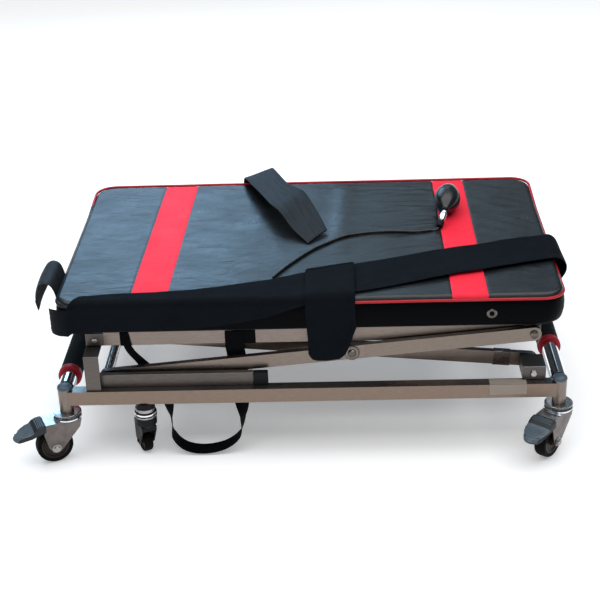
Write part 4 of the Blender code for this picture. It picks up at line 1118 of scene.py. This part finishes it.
def fork(tag, x, y, heading):
    f = upgrade("caster_fork_" + tag, ZINC_D, 0.0009, 2)
    rings = [turned("r1", [(0.0240, 0.0936), (0.0282, 0.0944), (0.0292, 0.0958), (0.0292, 0.0980), (0.0282, 0.0994), (0.0240, 0.0996)], (0, 0, 0), (0, 0, 1), [CHROME], 60),
             turned("r2", [(0.0240, 0.1004), (0.0268, 0.1006), (0.0272, 0.1012), (0.0272, 0.1018), (0.0240, 0.1020)], (0, 0, 0), (0, 0, 1), [BLK], 60),
             turned("r3", [(0.0220, 0.1022), (0.0280, 0.1026), (0.0286, 0.1036), (0.0280, 0.1052), (0.0220, 0.1058)], (0, 0, 0), (0, 0, 1), [ZINC], 60)]
    for sg in (-1, 1):
        rings.append(turned("n%d" % sg, [(0, 0.0210), (0.0088, 0.0212), (0.0092, 0.0218), (0.0092, 0.0226), (0.0070, 0.0230), (0.0070, 0.0258), (0.0055, 0.0270), (0, 0.0271)],
                            (TR, 0, WR), (0, sg, 0), [ZINC], 6 if False else 28))
    r = at(merged("caster_rings_" + tag, rings), x, y, heading)
    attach(r, "swivel_" + tag)
    # tread pedal: curved lower lip, ribbed rocker, step and blunt toe
    side = [(0.0512, 0.0942), (0.0560, 0.0950), (0.0640, 0.0940), (0.0722, 0.0905), (0.0752, 0.0868), (0.0790, 0.0843), (0.0850, 0.0826), (0.0960, 0.0796), (0.1070, 0.0752),
            (0.1132, 0.0722), (0.1156, 0.0690), (0.1148, 0.0662), (0.1130, 0.0656), (0.0980, 0.0700), (0.0800, 0.0745), (0.0640, 0.0795), (0.0512, 0.0830)]
    vs, fs = [], []
    n = len(side)
    secs = 17
    for k in range(secs):
        v = -1 + 2 * k / (secs - 1)
        hw = 0.0250
        for (px, pz) in side:
            taper = 1 - 0.42 * smooth(0.084, 0.1156, px)
            edge_drop = 0.0016 * abs(v) ** 6
            nosex = 0.0075 * abs(v) ** 2.4 * smooth(0.095, 0.1156, px)
            vs.append(Vector((px - nosex, v * hw * taper, pz - edge_drop * (1 if pz > 0.070 + (0.0512 - px) * 0.1 else -0.4))))
    for k in range(secs - 1):
        for i in range(n):
            i2 = (i + 1) % n
            fs.append([k * n + i, k * n + i2, (k + 1) * n + i2, (k + 1) * n + i])
    fs.append(list(range(n))[::-1])
    fs.append(list(range((secs - 1) * n, secs * n)))
    body = obj("pedal", vs, fs, [GREY, GREY_D], sharp=38)
    # darker grey on the rear step (real two-tone) and, as painted shade, on every face turned sideways or down
    for f in body.data.polygons:
        f.material_index = 1 if f.center.x < 0.0765 or f.normal.z < 0.2 else 0
    add_bevel(body, 0.0007, 2, 38)
    ribs = []

    def top_at(px):
        best = None
        for (ax, az), (bx, bz) in zip(side[:11], side[1:11]):
            if ax <= px <= bx:
                best = az + (bz - az) * (px - ax) / (bx - ax)
        return best
    for kx in (0.0565, 0.0600, 0.0635, 0.0670):
        z = top_at(kx)
        ribs.append(boxy("rib", (kx - 0.0009, -0.0205, z - 0.0016), (kx + 0.0009, 0.0205, z + 0.0008), [GREY], 0.0005, 2))
    for m in range(5):
        r0 = 0.0075 + 0.0058 * m
        pts = []
        for kk in range(15):
            a = math.radians(-62 + 124 * kk / 14)
            px, py = 0.0795 + r0 * math.cos(a) * 1.02, r0 * math.sin(a) * 1.12
            taper = 1 - 0.42 * smooth(0.084, 0.1156, px)
            if abs(py) > 0.0228 * taper or not 0.080 <= px <= 0.1105:
                continue
            pts.append(Vector((px, py, top_at(px) + 0.0001)))
        if len(pts) > 3:
            ribs.append(tube("arc", pts, 0.0008, [GREY], 8))
    pd = at(merged("tread_pedal_" + tag, [body] + ribs), x, y, heading)
    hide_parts("brake_pedal_" + tag)
    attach(pd, "pedal_" + tag)


for tag, sx, sy, hd in (("fl", -1, -1, 204.0), ("fr", 1, -1, 232.0), ("rr", 1, 1, 24.0), ("rl", -1, 1, 52.0)):
    x, y = sx * 0.4935, sy * 0.3225
    fork(tag, x, y, hd)
    wheel("wheel_assembly_" + tag, "caster_wheel_" + tag, TR, WR, 0.024, 0.0165, x, y, hd, "wheel_" + tag)
for tag, sy, hd in (("front", -1, 115.0), ("rear", 1, -65.0)):
    x, y = -0.335, sy * 0.3225
    upgrade("support_caster_fork_" + tag, BLK, 0.0007)
    rg = [turned("s1", [(0.0180, 0.0925), (0.0222, 0.0930), (0.0228, 0.0940), (0.0228, 0.0958), (0.0222, 0.0968), (0.0180, 0.0972)], (0, 0, 0), (0, 0, 1), [ZINC], 48),
          turned("s2", [(0.0180, 0.0992), (0.0222, 0.0994), (0.0226, 0.1004), (0.0226, 0.1024), (0.0222, 0.1034), (0.0180, 0.1036)], (0, 0, 0), (0, 0, 1), [CHROME], 48),
          turned("s3", [(0.0150, 0.1062), (0.0200, 0.1066), (0.0200, 0.1130), (0.0150, 0.1134)], (0, 0, 0), (0, 0, 1), [ZINC], 48)]
    rg = at(merged("support_rings_" + tag, rg), x, y, hd)
    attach(rg, "support_swivel_" + tag)
    wheel("support_wheel_assembly_" + tag, "support_caster_wheel_" + tag, 0.020, 0.025, 0.019, 0.0120, x, y, hd, "support_wheel_" + tag, False)

# ---------------------------------------------------------------- small fittings
ang = math.atan2(0.247 - 0.169, 0.442 + 0.410)
for s, sy in (("front", -1), ("rear", 1)):
    def Yb(a, b):
        return (min(sy * a, sy * b), max(sy * a, sy * b))
    ya, yb = Yb(0.2842, 0.2866)
    bl = boxy("b", (-0.4478, ya, 0.2335), (-0.4125, yb, 0.2608), [ALU_D], 0.0008)
    scw = turned("s", [(0, 0.2862), (0.0048, 0.2866), (0.0048, 0.2876), (0.0034, 0.2882), (0, 0.2882)], (-0.430, 0, 0.2455), (0, sy, 0), [ZINC], 24)
    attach(merged("channel_end_block_" + s, [bl, scw]), "deck")
    ya, yb = Yb(0.2842, 0.2864)
    cl = boxy("c", (0.4205, ya, 0.2325), (0.4568, yb, 0.2605), [ALU_D], 0.0008)
    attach(merged("channel_pivot_plate_" + s, [cl]), "deck")
    # sleeve round the inner leg near its pivot
    u0, u1 = 0.780, 0.815
    dv, up = Vector((math.cos(-ang), 0, math.sin(-ang))), Vector((math.sin(ang), 0, math.cos(ang)))
    ring = [(-0.0160, 0.2490), (0.0160, 0.2490), (0.0160, 0.2632), (-0.0160, 0.2632)]
    slv = extruded("leg_sleeve_" + s, ring, (-0.410, 0, 0.247), up, (0, sy, 0), dv, u0, u1, [ZINC_D], 0.0010)
    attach(slv, "inner_legs")
    # plate under the cap bolt on the outer leg
    dv, up = Vector((math.cos(ang), 0, math.sin(ang))), Vector((-math.sin(ang), 0, math.cos(ang)))
    c = Vector((0.083, 0, 0.208 + (0.083 - 0.016) * math.tan(ang)))
    pl = extruded("leg_plate_" + s, [(-0.0142, -0.0270), (0.0142, -0.0270), (0.0142, 0.0270), (-0.0142, 0.0270)], c, up, dv, (0, sy, 0), 0.2998, 0.3008, [ALU], 0.0004)
    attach(pl, "outer_legs")
    wsh = turned("leg_washer_" + s, [(0.0085, 0.3030), (0.0132, 0.3034), (0.0155, 0.3028), (0.0158, 0.3012), (0.0085, 0.3010)], c, (0, sy, 0), [ZINC_B], 48)
    cb = turned("leg_cap_" + s, [(0, 0.3030), (0.0086, 0.3032), (0.0086, 0.3060), (0.0070, 0.3078), (0.0035, 0.3084), (0, 0.3085)], c, (0, sy, 0), [ZINC_B], 36)
    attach(merged("leg_cap_bolt_" + s, [wsh, cb]), "outer_legs")
    bt = turned("pivot_nut_" + s, [(0, 0.3176), (0.0078, 0.3178), (0.0078, 0.3200), (0.0060, 0.3216), (0, 0.3218)], (0.442, 0, 0.169), (0, sy, 0), [ZINC], 6)
    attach(bt, "base")
# blank label wrapped over the top and front of the front side tube
lab = extruded("blank_side_label", [(-0.3353, 0.1320), (-0.3353, 0.1535), (-0.3342, 0.15465), (-0.3310, 0.1548), (-0.3125, 0.1548), (-0.3125, 0.15445), (-0.3330, 0.15445), (-0.33495, 0.1530), (-0.33495, 0.1320)],
               (0, 0, 0), (0, 1, 0), (0, 0, 1), (1, 0, 0), 0.354, 0.427, [LABEL], 0.0)
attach(lab, "base")

{"cad": CAD_BOX, "visual": plain(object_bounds())}
